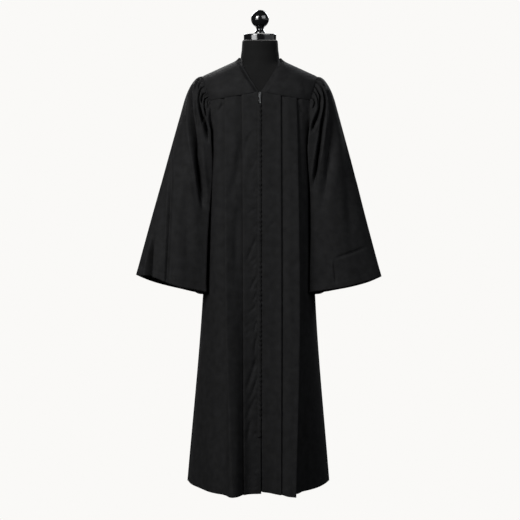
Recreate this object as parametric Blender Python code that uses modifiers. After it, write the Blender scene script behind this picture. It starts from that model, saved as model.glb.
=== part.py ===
"""A graduation gown on a limbless dress form.

Metres, +Z up. The front faces -Y and the wearer's left is +X. The origin is the centre of the
stand's underside, on the floor.
"""

import math
from bisect import bisect_right
from collections import namedtuple

import bmesh
import bpy
from mathutils import Matrix, Vector

COLLECTION = "graduation_gown_on_dress_form"

# Cloth
WALL = 0.0015
SEAM_GAP = 0.0008
LAYER_PITCH = 0.0026
MERGE = 0.00001

# Gown levels and widths, half widths measured from the centre plane
NECK_POINT = Vector((0.0665, 0.0, 1.3814))
SHOULDER_TIP = Vector((0.1810, 0.0, 1.3293))
NECK_RISE = 0.0055
NECK_RISE_SHARE = 0.17
YOKE_CENTRE_Z = 1.2830
YOKE_SIDE_Z = 1.2540
YOKE_SIDE_X = 0.1590
YOKE_DEPTH_CENTRE = 0.1160
YOKE_DEPTH_SIDE = 0.0750
BACK_NECK_Y = 0.0715
BACK_NECK_DROP = 0.0120
BACK_YOKE_CENTRE_Z = 1.2600
BACK_DEPTH_CENTRE = 0.1130
BACK_DEPTH_SIDE = 0.0820
UNDERARM_Z = 1.0900
UNDERARM_X = 0.1600
MID_Z = 0.5900
HEM_Z = 0.0100
ZIP_HALF_SLOT = 0.0040
ZIP_END_Z = 0.1960

# Dress form
NECK_TOP_Z = 1.4445
TORSO_SEGMENTS = 32
POLE_RADIUS = 0.0140
BASE_RADIUS = 0.1150
ROUND_STEPS = 32

BLACK_CLOTH = (0.012, 0.012, 0.013, 1.0)
FORM_JERSEY = (0.016, 0.016, 0.017, 1.0)
GLOSS_BLACK = (0.010, 0.010, 0.011, 1.0)
BLACK_STEEL = (0.030, 0.030, 0.032, 1.0)
SILVER = (0.560, 0.570, 0.580, 1.0)


# Tables: one row for each section or fold line

FormSection = namedtuple("FormSection", "z half_width front back squareness")
FORM_SECTIONS = (
    FormSection(0.6400, 0.1280, 0.0850, 0.0900, 2.2),
    FormSection(0.6520, 0.1460, 0.0990, 0.1040, 2.3),
    FormSection(0.7100, 0.1550, 0.1050, 0.1130, 2.3),
    FormSection(0.7900, 0.1570, 0.1080, 0.1180, 2.3),
    FormSection(0.8900, 0.1450, 0.1010, 0.1120, 2.2),
    FormSection(1.0100, 0.1210, 0.0900, 0.0970, 2.1),
    FormSection(1.0900, 0.1320, 0.1030, 0.0990, 2.2),
    FormSection(1.1700, 0.1470, 0.1110, 0.1020, 2.3),
    FormSection(1.2300, 0.1600, 0.1090, 0.1040, 2.4),
    FormSection(1.2800, 0.1700, 0.1040, 0.1010, 2.5),
    FormSection(1.3100, 0.1720, 0.0980, 0.0940, 2.5),
    FormSection(1.3250, 0.1670, 0.0900, 0.0880, 2.4),
    FormSection(1.3340, 0.1520, 0.0850, 0.0830, 2.4),
    FormSection(1.3460, 0.1230, 0.0780, 0.0760, 2.3),
    FormSection(1.3580, 0.0950, 0.0700, 0.0680, 2.2),
    FormSection(1.3690, 0.0705, 0.0650, 0.0635, 2.0),
    FormSection(1.3780, 0.0625, 0.0620, 0.0615, 2.0),
    FormSection(1.3940, 0.0612, 0.0605, 0.0605, 2.0),
    FormSection(1.4130, 0.0586, 0.0580, 0.0580, 2.0),
    FormSection(1.4400, 0.0566, 0.0566, 0.0566, 2.0),
    FormSection(1.4445, 0.0540, 0.0540, 0.0540, 2.0),
)

# A front panel's fold lines from the zip edge to the side seam. Columns hold the place of the
# line at the yoke seam, at underarm height, at mid height and at the hem; layer counts the
# thicknesses of cloth in front of it at the yoke seam; drop is how far it hangs below the hem.
PanelLine = namedtuple(
    "PanelLine", "name layer x_top x_arm y_arm x_mid y_mid x_hem y_hem drop", defaults=(0.0,)
)
LEFT_FRONT_LINES = (
    PanelLine("zip_edge", 0, 0.0040, 0.0040, -0.1265, 0.0040, -0.1540, 0.0066, -0.1865),
    PanelLine("centre_face", 0, 0.0280, 0.0290, -0.1262, 0.0300, -0.1545, 0.0300, -0.1880),
    PanelLine("pleat_1_root", 0, 0.0480, 0.0490, -0.1255, 0.0500, -0.1555, 0.0490, -0.1950),
    PanelLine("pleat_1_edge", 0, 0.0654, 0.0665, -0.1250, 0.0680, -0.1580, 0.0670, -0.2120, -0.0017),
    PanelLine("between", 0, 0.0860, 0.0900, -0.1230, 0.0940, -0.1585, 0.0900, -0.2180, 0.0022),
    PanelLine("pleat_2_root", 0, 0.0980, 0.1030, -0.1215, 0.1080, -0.1585, 0.1030, -0.2195, 0.0035),
    PanelLine("pleat_2_edge", 0, 0.1154, 0.1200, -0.1195, 0.1264, -0.1585, 0.1146, -0.2205, 0.0038),
    PanelLine("pleat_2_turn", 1, 0.1154, 0.1195, -0.1160, 0.1250, -0.1535, 0.1110, -0.2130),
    PanelLine("pleat_2_inner", 1, 0.0980, 0.1040, -0.1165, 0.1080, -0.1505, 0.1060, -0.2000),
    PanelLine("pleat_2_inner_turn", 2, 0.0980, 0.1045, -0.1130, 0.1100, -0.1470, 0.1110, -0.1930),
    PanelLine("side_start", 2, 0.1190, 0.1200, -0.1085, 0.1250, -0.1420, 0.1210, -0.1860),
    PanelLine("side_1", 0, 0.1300, 0.1350, -0.1010, 0.1390, -0.1260, 0.1350, -0.1580),
    PanelLine("side_2", 0, 0.1420, 0.1480, -0.0850, 0.1530, -0.1020, 0.1606, -0.1303),
    PanelLine("side_3", 0, 0.1520, 0.1560, -0.0570, 0.1675, -0.0680, 0.1880, -0.0930),
    PanelLine("side_4", 0, 0.1560, 0.1590, -0.0290, 0.1760, -0.0340, 0.2120, -0.0430),
    PanelLine("side_seam", 0, 0.1590, 0.1600, -0.0006, 0.1802, -0.0006, 0.2268, -0.0006),
)
RIGHT_FRONT_LINES = (
    PanelLine("zip_edge", 0, 0.0040, 0.0040, -0.1265, 0.0040, -0.1540, 0.0030, -0.1865),
    PanelLine("centre_face", 0, 0.0230, 0.0220, -0.1262, 0.0220, -0.1548, 0.0220, -0.1895),
    PanelLine("pleat_1_root", 0, 0.0400, 0.0390, -0.1258, 0.0370, -0.1560, 0.0370, -0.1935),
    PanelLine("pleat_1_edge", 0, 0.0575, 0.0550, -0.1255, 0.0525, -0.1575, 0.0510, -0.2040),
    PanelLine("between", 0, 0.0800, 0.0780, -0.1240, 0.0740, -0.1630, 0.0690, -0.2290),
    PanelLine("pleat_2_root", 0, 0.0930, 0.0930, -0.1235, 0.0910, -0.1710, 0.0780, -0.2380),
    PanelLine("pleat_2_edge", 0, 0.1110, 0.1110, -0.1225, 0.1080, -0.1760, 0.0880, -0.2415),
    PanelLine("pleat_2_turn", 1, 0.1110, 0.1105, -0.1190, 0.1065, -0.1680, 0.0960, -0.2360),
    PanelLine("pleat_2_inner", 1, 0.0930, 0.0950, -0.1175, 0.0970, -0.1540, 0.1060, -0.2140),
    PanelLine("pleat_2_inner_turn", 2, 0.0930, 0.0955, -0.1140, 0.1000, -0.1470, 0.1130, -0.2030),
    PanelLine("side_start", 2, 0.1140, 0.1150, -0.1095, 0.1220, -0.1400, 0.1210, -0.1945),
    PanelLine("side_1", 0, 0.1270, 0.1320, -0.1030, 0.1390, -0.1290, 0.1400, -0.1815),
    PanelLine("side_2", 0, 0.1400, 0.1470, -0.0860, 0.1560, -0.1040, 0.1640, -0.1580),
    PanelLine("side_3", 0, 0.1510, 0.1560, -0.0570, 0.1710, -0.0700, 0.1935, -0.1080),
    PanelLine("side_4", 0, 0.1560, 0.1590, -0.0290, 0.1818, -0.0350, 0.2218, -0.0540),
    PanelLine("side_seam", 0, 0.1590, 0.1600, -0.0006, 0.1868, -0.0006, 0.2376, -0.0006),
)

# The sleeve around its armhole ring, from the shoulder tip round the front, under the arm and up
# the back. out_* is how far the cloth heads away from the ring before it falls; cuff_* is where
# it ends; lift raises the cuff edge over the plain slope of the hem.
SleeveLine = namedtuple("SleeveLine", "angle out_x out_y out_z cuff_x cuff_y lift_left lift_right")
SLEEVE_LINES = (
    SleeveLine(0.0, 0.0395, 0.0000, 0.0000, 0.3950, -0.0450, 0.0045, 0.0095),
    SleeveLine(30.0, 0.0340, -0.0080, -0.0010, 0.3380, -0.0860, 0.0140, 0.0250),
    SleeveLine(60.0, 0.0200, -0.0150, -0.0060, 0.2540, -0.1070, 0.0172, 0.0214),
    SleeveLine(86.0, 0.0030, -0.0180, -0.0120, 0.1760, -0.1210, 0.0190, 0.0200),
    SleeveLine(95.0, -0.0010, -0.0150, -0.0120, 0.1700, -0.1180, 0.0170, 0.0180),
    SleeveLine(130.0, 0.0060, -0.0070, -0.0100, 0.1820, -0.0650, 0.0060, 0.0060),
    SleeveLine(180.0, 0.0110, 0.0000, -0.0080, 0.1990, -0.0060, -0.0030, -0.0030),
    SleeveLine(230.0, 0.0100, 0.0060, -0.0100, 0.2060, 0.0430, -0.0080, -0.0080),
    SleeveLine(265.0, 0.0100, 0.0160, -0.0120, 0.2180, 0.0680, -0.0100, -0.0100),
    SleeveLine(300.0, 0.0200, 0.0170, -0.0060, 0.2740, 0.0620, -0.0105, -0.0075),
    SleeveLine(330.0, 0.0340, 0.0090, -0.0010, 0.3420, 0.0220, -0.0062, -0.0012),
    SleeveLine(360.0, 0.0395, 0.0000, 0.0000, 0.3950, -0.0450, 0.0045, 0.0095),
)

# The large hanging folds of the sleeves, each a trough (depth over 0) or a ridge along a curve
# through three places seen from the front; face is -1 on the front layer and 1 on the back one.
SleeveFold = namedtuple(
    "SleeveFold", "side face x_high z_high x_middle z_middle x_low z_low depth width"
)
SLEEVE_FOLDS = (
    SleeveFold(-1, -1, 0.2180, 1.2920, 0.2100, 1.1500, 0.1760, 0.9100, 0.014, 0.0120),
    SleeveFold(-1, -1, 0.1940, 1.2700, 0.1840, 1.2100, 0.1640, 1.1100, 0.007, 0.0070),
    SleeveFold(-1, -1, 0.2360, 1.2300, 0.2500, 1.0400, 0.2600, 0.7900, -0.007, 0.0260),
    SleeveFold(1, -1, 0.2050, 1.2860, 0.1960, 1.1500, 0.1700, 0.9700, 0.014, 0.0110),
    SleeveFold(1, -1, 0.2320, 1.2540, 0.2260, 1.1200, 0.1900, 0.8800, 0.006, 0.0120),
    SleeveFold(1, -1, 0.2600, 1.1700, 0.2750, 0.9900, 0.2850, 0.7900, -0.006, 0.0300),
    SleeveFold(-1, 1, 0.2120, 1.2800, 0.2140, 1.1300, 0.2300, 0.8900, 0.010, 0.0120),
    SleeveFold(-1, 1, 0.2480, 1.1900, 0.2640, 0.9900, 0.2900, 0.7500, 0.007, 0.0180),
    SleeveFold(1, 1, 0.2080, 1.2800, 0.2100, 1.1300, 0.2260, 0.8700, 0.010, 0.0120),
    SleeveFold(1, 1, 0.2440, 1.1900, 0.2660, 0.9900, 0.3000, 0.7500, 0.007, 0.0180),
)

ARMHOLE_CENTRE_Z = (SHOULDER_TIP.z + UNDERARM_Z) / 2
ARMHOLE_HALF_HEIGHT = (SHOULDER_TIP.z - UNDERARM_Z) / 2
ARMHOLE_INSET = 0.0015
HEAD_WIDTH_LEFT = 0.950
HEAD_WIDTH_RIGHT = 1.000
SLEEVE_TUCKS = 7
SLEEVE_TUCK_DEPTH = 0.0046
TUCK_ZONE_DEGREES = (8.0, 84.0)

BACK_FOLDS = 11
BACK_FOLD_COLUMNS = 4


# Shared helpers


def clear_scene():
    for old in list(bpy.data.objects):
        bpy.data.objects.remove(old, do_unlink=True)


def smooth(value):
    """0 to 1 with level ends."""
    value = min(1.0, max(0.0, value))
    return value * value * (3.0 - 2.0 * value)


def curve_through(keys, values, at):
    """A smooth curve through the values that never overshoots them."""
    at = min(max(at, keys[0]), keys[-1])
    last = len(keys) - 1
    steps = [(values[i + 1] - values[i]) / (keys[i + 1] - keys[i]) for i in range(last)]
    slopes = [steps[0]]
    for before, after in zip(steps, steps[1:]):
        slopes.append(0.0 if before * after <= 0 else 2 * before * after / (before + after))
    slopes.append(steps[-1])
    i = min(bisect_right(keys, at) - 1, last - 1)
    span = keys[i + 1] - keys[i]
    t = (at - keys[i]) / span
    return (
        values[i] * (2 * t**3 - 3 * t**2 + 1)
        + slopes[i] * span * (t**3 - 2 * t**2 + t)
        + values[i + 1] * (3 * t**2 - 2 * t**3)
        + slopes[i + 1] * span * (t**3 - t**2)
    )


def column(rows, name, at):
    """The named column of a table, read between its rows at a value of its first column."""
    return curve_through([row[0] for row in rows], [getattr(row, name) for row in rows], at)


def material(name, colour, roughness, metallic=0.0):
    made = bpy.data.materials.new(name)
    made.use_nodes = True
    shader = made.node_tree.nodes["Principled BSDF"]
    shader.inputs["Base Color"].default_value = colour
    shader.inputs["Roughness"].default_value = roughness
    shader.inputs["Metallic"].default_value = metallic
    made.diffuse_color = colour
    return made


def add_object(name, mesh, collection, colour, roughness, metallic=0.0):
    made = bpy.data.objects.new(name, mesh)
    mesh.materials.append(material(name, colour, roughness, metallic))
    collection.objects.link(made)
    return made


def cloth(name, columns, rows, place, collection, closed=False, colour=BLACK_CLOTH, wall=WALL):
    """A sheet of columns x rows faces, each corner put where place(column, row) says."""
    mesh = bpy.data.meshes.new(name)
    sheet = bmesh.new()
    bmesh.ops.create_grid(sheet, x_segments=columns, y_segments=rows, size=0.5)
    for vert in sheet.verts:
        vert.co = place(round((vert.co.x + 0.5) * columns), round((vert.co.y + 0.5) * rows))
    if closed:
        bmesh.ops.remove_doubles(sheet, verts=sheet.verts, dist=MERGE)
    sheet.to_mesh(mesh)
    sheet.free()
    mesh.shade_smooth()
    made = add_object(name, mesh, collection, colour, 0.85)
    solidify = made.modifiers.new("wall", "SOLIDIFY")
    solidify.thickness = wall
    solidify.offset = 0.0
    solidify.use_even_offset = True
    solidify.use_quality_normals = True
    return made


def turned(name, profile, steps, collection, colour, roughness, metallic=0.0):
    """A profile of (radius, z) rows from the top down, turned about Z."""
    mesh = bpy.data.meshes.new(name)
    line = bmesh.new()
    verts = [line.verts.new((radius, 0.0, z)) for radius, z in profile]
    for upper, lower in zip(verts, verts[1:]):
        line.edges.new((upper, lower))
    line.to_mesh(mesh)
    line.free()
    made = add_object(name, mesh, collection, colour, roughness, metallic)
    screw = made.modifiers.new("turn", "SCREW")
    screw.steps = steps
    screw.render_steps = steps
    screw.use_merge_vertices = True
    screw.merge_threshold = MERGE
    screw.use_smooth_shade = True
    return made


# Dress form


def form_section(z, step):
    """A point of the torso's rounded-square section at one height."""
    angle = 2 * math.pi * step / TORSO_SEGMENTS
    power = 2.0 / column(FORM_SECTIONS, "squareness", z)
    across, along = math.cos(angle), math.sin(angle)
    depth = column(FORM_SECTIONS, "back" if along > 0 else "front", z)
    return Vector(
        (
            math.copysign(abs(across) ** power, across) * column(FORM_SECTIONS, "half_width", z),
            math.copysign(abs(along) ** power, along) * depth,
            z,
        )
    )


def add_torso(collection):
    """Torso, shoulders and neck as one lofted body, closed flat above and below."""
    mesh = bpy.data.meshes.new("form_torso")
    loft = bmesh.new()
    rings = [
        [loft.verts.new(form_section(section.z, step)) for step in range(TORSO_SEGMENTS)]
        for section in FORM_SECTIONS
    ]
    for low, high in zip(rings, rings[1:]):
        for a in range(TORSO_SEGMENTS):
            b = (a + 1) % TORSO_SEGMENTS
            loft.faces.new((low[a], low[b], high[b], high[a]))
    loft.faces.new(reversed(rings[0]))
    loft.faces.new(rings[-1])
    loft.to_mesh(mesh)
    loft.free()
    mesh.shade_smooth()
    add_object("form_torso", mesh, collection, FORM_JERSEY, 0.9)


def add_form(collection):
    add_torso(collection)
    cap_low, cap_high = NECK_TOP_Z + 0.0004, 1.4652
    turned(
        "form_neck_cap",
        (
            (0.0, cap_high),
            (0.0470, cap_high),
            (0.0503, cap_high - 0.0012),
            (0.0517, cap_high - 0.0045),
            (0.0517, cap_low + 0.0020),
            (0.0500, cap_low),
            (0.0, cap_low),
        ),
        ROUND_STEPS,
        collection,
        GLOSS_BLACK,
        0.2,
    )
    ball_radius, ball_z, foot_z = 0.0276, 1.5124, cap_high + 0.0004
    neck_radius = 0.0126
    ball_start = math.asin(neck_radius / ball_radius)
    arc = [
        (
            ball_radius * math.sin(step / 11 * (math.pi - ball_start)),
            ball_z + ball_radius * math.cos(step / 11 * (math.pi - ball_start)),
        )
        for step in range(12)
    ]
    turned(
        "form_finial",
        [*arc, (0.0126, 1.4790), (0.0150, 1.4735), (0.0176, 1.4700), (0.0176, foot_z), (0.0, foot_z)],
        ROUND_STEPS,
        collection,
        GLOSS_BLACK,
        0.2,
    )
    base_high = 0.0120
    turned(
        "form_base",
        (
            (0.0, base_high + 0.0100),
            (0.0240, base_high + 0.0100),
            (0.0280, base_high + 0.0050),
            (BASE_RADIUS - 0.0100, base_high),
            (BASE_RADIUS, base_high - 0.0040),
            (BASE_RADIUS, 0.0),
            (0.0, 0.0),
        ),
        ROUND_STEPS,
        collection,
        BLACK_STEEL,
        0.4,
        1.0,
    )
    pole_low, pole_high = base_high + 0.0104, FORM_SECTIONS[0].z - 0.0004
    turned(
        "form_pole",
        ((0.0, pole_high), (POLE_RADIUS, pole_high), (POLE_RADIUS, pole_low), (0.0, pole_low)),
        ROUND_STEPS,
        collection,
        BLACK_STEEL,
        0.35,
        1.0,
    )


# Yoke


def shoulder_line(share):
    """From the neck point (0) to the shoulder tip (1), curving up towards the neck."""
    rise = NECK_RISE * max(0.0, 1.0 - share / NECK_RISE_SHARE) ** 2
    return NECK_POINT.lerp(SHOULDER_TIP, share) + Vector((0.0, 0.0, rise))


def yoke_depth(x, centre, side):
    """How far the yoke's lower edge stands off the shoulder plane at a distance from the centre."""
    return centre - (centre - side) * (abs(x) / YOKE_SIDE_X) ** 3.6


def front_seam_z(x):
    return YOKE_CENTRE_Z + (YOKE_SIDE_Z - YOKE_CENTRE_Z) * abs(x) / YOKE_SIDE_X


def back_seam_z(x):
    return BACK_YOKE_CENTRE_Z + (YOKE_SIDE_Z - BACK_YOKE_CENTRE_Z) * (abs(x) / YOKE_SIDE_X) ** 2


def add_front_yoke(name, side, collection):
    """From the shoulder line down to the straight yoke seam; its inner edge is the V neck."""
    columns, rows = 11, 8

    def place(i, j):
        across = i / columns
        turn = math.pi / 2 * j / rows
        fall = 1.0 - math.cos(turn)
        top = shoulder_line(across)
        low_x = SEAM_GAP + (YOKE_SIDE_X - SEAM_GAP) * across
        low_z = front_seam_z(low_x) + SEAM_GAP / 2
        depth = yoke_depth(low_x, YOKE_DEPTH_CENTRE, YOKE_DEPTH_SIDE)
        return Vector(
            (
                side * (top.x + (low_x - top.x) * fall),
                -SEAM_GAP / 2 - (depth - SEAM_GAP / 2) * math.sin(turn),
                top.z + (low_z - top.z) * fall,
            )
        )

    cloth(name, columns, rows, place, collection)


def add_back_yoke(collection):
    """One piece from armhole to armhole, round the back of the neck."""
    columns, rows = 24, 7
    neck_share = 0.42

    def place(i, j):
        across = 2.0 * i / columns - 1.0
        reach = abs(across)
        if reach > neck_share:
            top = shoulder_line((reach - neck_share) / (1 - neck_share))
            start = 0.0
        else:
            round_neck = reach / neck_share * math.pi / 2
            top = Vector(
                (
                    NECK_POINT.x * math.sin(round_neck),
                    BACK_NECK_Y * math.cos(round_neck),
                    NECK_POINT.z + NECK_RISE - BACK_NECK_DROP * math.cos(round_neck),
                )
            )
            start = 0.80 * math.cos(round_neck)
        turn = start + (math.pi / 2 - start) * j / rows
        fall = (math.cos(start) - math.cos(turn)) / math.cos(start)
        forth = (math.sin(turn) - math.sin(start)) / (1.0 - math.sin(start))
        low_x = YOKE_SIDE_X * reach
        low_y = yoke_depth(low_x, BACK_DEPTH_CENTRE, BACK_DEPTH_SIDE)
        low_z = back_seam_z(low_x) + SEAM_GAP / 2
        y = top.y + (low_y - top.y) * forth
        return Vector(
            (
                math.copysign(top.x + (low_x - top.x) * fall, across),
                max(y, SEAM_GAP / 2),
                top.z + (low_z - top.z) * fall,
            )
        )

    cloth("yoke_back", columns, rows, place, collection)


# Armhole


def armhole(angle):
    """The ring where yoke and panels end, on the wearer's left; 0 is the shoulder tip."""
    turn = math.radians(angle)
    depth = 0.0800 if angle <= 180 else 0.0860
    high = (math.cos(turn) + 1) / 2
    return Vector(
        (
            UNDERARM_X + (SHOULDER_TIP.x - UNDERARM_X) * high**2.6,
            -depth * math.sin(turn),
            ARMHOLE_CENTRE_Z + ARMHOLE_HALF_HEIGHT * math.cos(turn),
        )
    )


def armhole_at(z, face):
    """The armhole ring at one height, on its front (-1) or back (1) half."""
    turn = math.degrees(math.acos(min(1.0, max(-1.0, (z - ARMHOLE_CENTRE_Z) / ARMHOLE_HALF_HEIGHT))))
    return armhole(turn if face < 0 else 360.0 - turn)


# Front and back panels

PANEL_FRACTIONS = (
    0.0, 0.03, 0.06, 0.09, 0.115, 0.135, 0.16, 0.20, 0.27, 0.35, 0.44, 0.54, 0.64, 0.74, 0.84,
    0.93, 1.0,
)


# How much each side line follows the armhole's curve above the underarm
ARMHOLE_SHARES = {"side_2": 0.03, "side_3": 0.30, "side_4": 0.65, "side_seam": 1.0}


def line_at(line, z, top_z, low_z):
    """The x and y of a fold line at one height."""
    top_y = -yoke_depth(line.x_top, YOKE_DEPTH_CENTRE, YOKE_DEPTH_SIDE)
    top_y += line.layer * LAYER_PITCH
    keys = (-top_z, -UNDERARM_Z, -MID_Z, -low_z)
    x = curve_through(keys, (line.x_top, line.x_arm, line.x_mid, line.x_hem), -z)
    y = curve_through(keys, (top_y, line.y_arm, line.y_mid, line.y_hem), -z)
    return x, y


def pleated_lines(lines):
    """The table's lines with the pressed pleat's two hidden layers put in after its edge."""
    root = next(line for line in lines if line.name == "pleat_1_root")
    path = []
    for line in lines:
        path.append((line, 0))
        if line.name == "pleat_1_edge":
            path += [(line, 1), (root, 1), (root, 2), (line, 2)]
    return path


def add_front(name, side, lines, centre_lift, collection):
    """A front panel: zip edge, two outward knife pleats from the yoke, and the side."""
    path = pleated_lines(lines)

    def place(i, j):
        line, hidden = path[i]
        top_z = front_seam_z(line.x_top) - SEAM_GAP / 2
        low_z = HEM_Z - line.drop + centre_lift * smooth(1.0 - line.x_hem / 0.060)
        z = top_z + (low_z - top_z) * PANEL_FRACTIONS[j]
        x, y = line_at(line, z, top_z, low_z)
        y += hidden * LAYER_PITCH * (1.0 + 0.4 * PANEL_FRACTIONS[j])
        share = ARMHOLE_SHARES.get(line.name, 0.0)
        if share and z > UNDERARM_Z:
            ring = armhole_at(z, -1)
            seam_x, seam_y = line_at(lines[-1], z, top_z, low_z)
            x += share * (ring.x - ARMHOLE_INSET - seam_x)
            y += share * (min(ring.y, -SEAM_GAP) - seam_y)
        return Vector((side * x, y, z))

    cloth(name, len(path) - 1, len(PANEL_FRACTIONS) - 1, place, collection)


def add_back(collection):
    """The back panel, gathered into soft flutes that open towards the hem."""
    columns, rows = BACK_FOLDS * BACK_FOLD_COLUMNS, len(PANEL_FRACTIONS) - 1

    def place(i, j):
        across = 2.0 * i / columns - 1.0
        reach = abs(across)
        top_x = YOKE_SIDE_X * reach
        top_z = back_seam_z(top_x) - SEAM_GAP / 2
        z = top_z + (HEM_Z - top_z) * PANEL_FRACTIONS[j]
        opened = (UNDERARM_Z - z) / (UNDERARM_Z - HEM_Z)
        side_line = (LEFT_FRONT_LINES if across > 0 else RIGHT_FRONT_LINES)[-1]
        seam_x, _ = line_at(side_line, min(z, UNDERARM_Z), YOKE_SIDE_Z, HEM_Z)
        depth = 0.118 + 0.077 * smooth(max(0.0, opened)) ** 0.8
        turn = across * math.pi / 2
        x = math.sin(turn) * seam_x
        y = abs(math.cos(turn)) ** 0.80 * depth
        if z > UNDERARM_Z:
            ring = armhole_at(z, 1)
            lift = (z - UNDERARM_Z) / (top_z - UNDERARM_Z)
            edge = Vector((math.copysign(ring.x - ARMHOLE_INSET, across), ring.y, z))
            seam = Vector((math.copysign(UNDERARM_X, across), 0.0, z))
            x += (edge.x - seam.x) * reach**3
            y += (edge.y - seam.y) * reach**5
            flat = Vector((math.copysign(top_x, across), 0.0, z))
            flat.y = yoke_depth(top_x, BACK_DEPTH_CENTRE, BACK_DEPTH_SIDE)
            x += (flat.x - x) * smooth(lift)
            y += (flat.y - y) * smooth(lift)
        outward = Vector((0.1 * x, 1.6 * y, 0.0)).normalized()
        swell = 0.0010 + 0.0150 * max(0.0, opened + 0.12) ** 0.9
        swell *= 1.0 - 0.22 * math.sin(3.1 * across + 0.6)
        wave = math.cos(2 * math.pi * BACK_FOLDS * (i / columns) + math.pi)
        fade = smooth((1.0 - reach) / 0.22) * smooth((UNDERARM_Z + 0.19 - z) / 0.10)
        x += outward.x * wave * swell * fade
        y += outward.y * wave * swell * fade
        return Vector((x, max(y, SEAM_GAP), z))

    cloth("back", columns, rows, place, collection)


# Sleeves

CUFF_INNER_X = 0.1880
CUFF_OUTER_X = 0.3940
CUFF_INNER_Z = 0.6300
CUFF_RISE = 0.0400
CUFF_CORNER_RISE = 0.0150
CUFF_SCALE_LEFT = 0.9900
CUFF_SCALE_RIGHT = 1.0080
HEAD_SHARE = 0.14
CUFF_FLUTE = 0.0040
CUFF_FLUTES = 9
HEAD_ROWS = 5
FALL_ROWS = 10
UNDERARM_ANGLES = (90.0, 96.0, 110.0, 130.0, 155.0, 180.0, 205.0, 232.0, 255.0)
BACK_HEAD_ANGLES = (268.0, 352.0)
HEAD_STEPS = 2 * SLEEVE_TUCKS


def even_angles(low, high):
    """Angles a half tuck apart, so that they fall on the tucks' crests and troughs."""
    return [low + (high - low) * step / HEAD_STEPS for step in range(HEAD_STEPS + 1)]


# The lobe: under the arm the front layer swings in over the side of the body
LOBE_ANGLES = (62.0, 84.0, 92.0, 104.0)
SleeveLobe = namedtuple("SleeveLobe", "reach z half_height cuff_reach")
LOBE_LEFT = SleeveLobe(0.0120, 1.0850, 0.1050, 0.0090)
LOBE_RIGHT = SleeveLobe(0.0145, 1.0300, 0.1450, 0.0)

SLEEVE_ANGLES = (*even_angles(*TUCK_ZONE_DEGREES), *UNDERARM_ANGLES, *even_angles(*BACK_HEAD_ANGLES), 360.0)


def cuff_z(x, lift):
    """Height of the slanting cuff edge, higher at the outer corner."""
    outer = (x - CUFF_INNER_X) / (CUFF_OUTER_X - CUFF_INNER_X)
    return CUFF_INNER_Z + CUFF_RISE * outer + CUFF_CORNER_RISE * max(0.0, outer) ** 4 + lift


def lobe_reach(angle, z, side):
    """How far the front layer swings in under the arm."""
    lobe = LOBE_LEFT if side > 0 else LOBE_RIGHT
    start, full, last, end = LOBE_ANGLES
    share = smooth((angle - start) / (full - start)) * smooth((end - angle) / (end - last))
    swing = lobe.reach * math.exp(-(((z - lobe.z) / lobe.half_height) ** 2))
    return share * (swing + lobe.cuff_reach * smooth((UNDERARM_Z - z) / (UNDERARM_Z - CUFF_INNER_Z)))


def sleeve_point(angle, along, side):
    """A point of the plain sleeve on the wearer's left: along is 0 at the armhole, 1 at the cuff."""
    ring = armhole(angle)
    out = Vector([column(SLEEVE_LINES, name, angle) for name in ("out_x", "out_y", "out_z")])
    out.x *= HEAD_WIDTH_LEFT if side > 0 else HEAD_WIDTH_RIGHT
    cuff_x = column(SLEEVE_LINES, "cuff_x", angle)
    lift = column(SLEEVE_LINES, "lift_left" if side > 0 else "lift_right", angle)
    cuff = Vector((cuff_x, column(SLEEVE_LINES, "cuff_y", angle), cuff_z(cuff_x, lift)))
    start = ring + Vector((ARMHOLE_INSET, 0.0, 0.0))
    corner = ring + out
    turn_end = corner.lerp(cuff, HEAD_SHARE)
    head_rows_share = HEAD_ROWS / (HEAD_ROWS + FALL_ROWS)
    if along <= head_rows_share:
        t = along / head_rows_share
        here = start * (1 - t) ** 2 + corner * 2 * t * (1 - t) + turn_end * t**2
    else:
        here = turn_end.lerp(cuff, (along - head_rows_share) / (1 - head_rows_share))
    here.x -= lobe_reach(angle, here.z, side) * smooth((along - 0.06) / 0.20)
    return here


def fold_depth(fold, x, z):
    """How deep a hanging fold is at a place seen from the front."""
    if not fold.z_low < z < fold.z_high:
        return 0.0
    down = (fold.z_high - z) / (fold.z_high - fold.z_low)
    middle = (fold.z_high - fold.z_middle) / (fold.z_high - fold.z_low)
    centre = (
        fold.x_high * (down - middle) * (down - 1) / middle
        + fold.x_middle * down * (down - 1) / (middle * (middle - 1))
        + fold.x_low * down * (down - middle) / (1 - middle)
    )
    ends = smooth(down / 0.18) * smooth((1 - down) / 0.35)
    width = fold.width * (1.0 + 0.8 * down)
    return fold.depth * ends * math.exp(-(((x - centre) / width) ** 2))


def tuck_depth(angle, along):
    """The small tucks that gather the sleeve head, strongest a little below the seam."""
    low, high = TUCK_ZONE_DEGREES
    mirrored = angle if angle <= 180 else 360.0 - angle
    if not low < mirrored < high:
        return 0.0
    phase = (mirrored - low) / (high - low)
    strength = smooth(along / 0.10) * smooth((0.46 - along) / 0.34)
    edges = smooth(phase / 0.12) * smooth((1 - phase) / 0.12)
    return SLEEVE_TUCK_DEPTH * math.cos(2 * math.pi * SLEEVE_TUCKS * phase) * strength * edges


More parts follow.
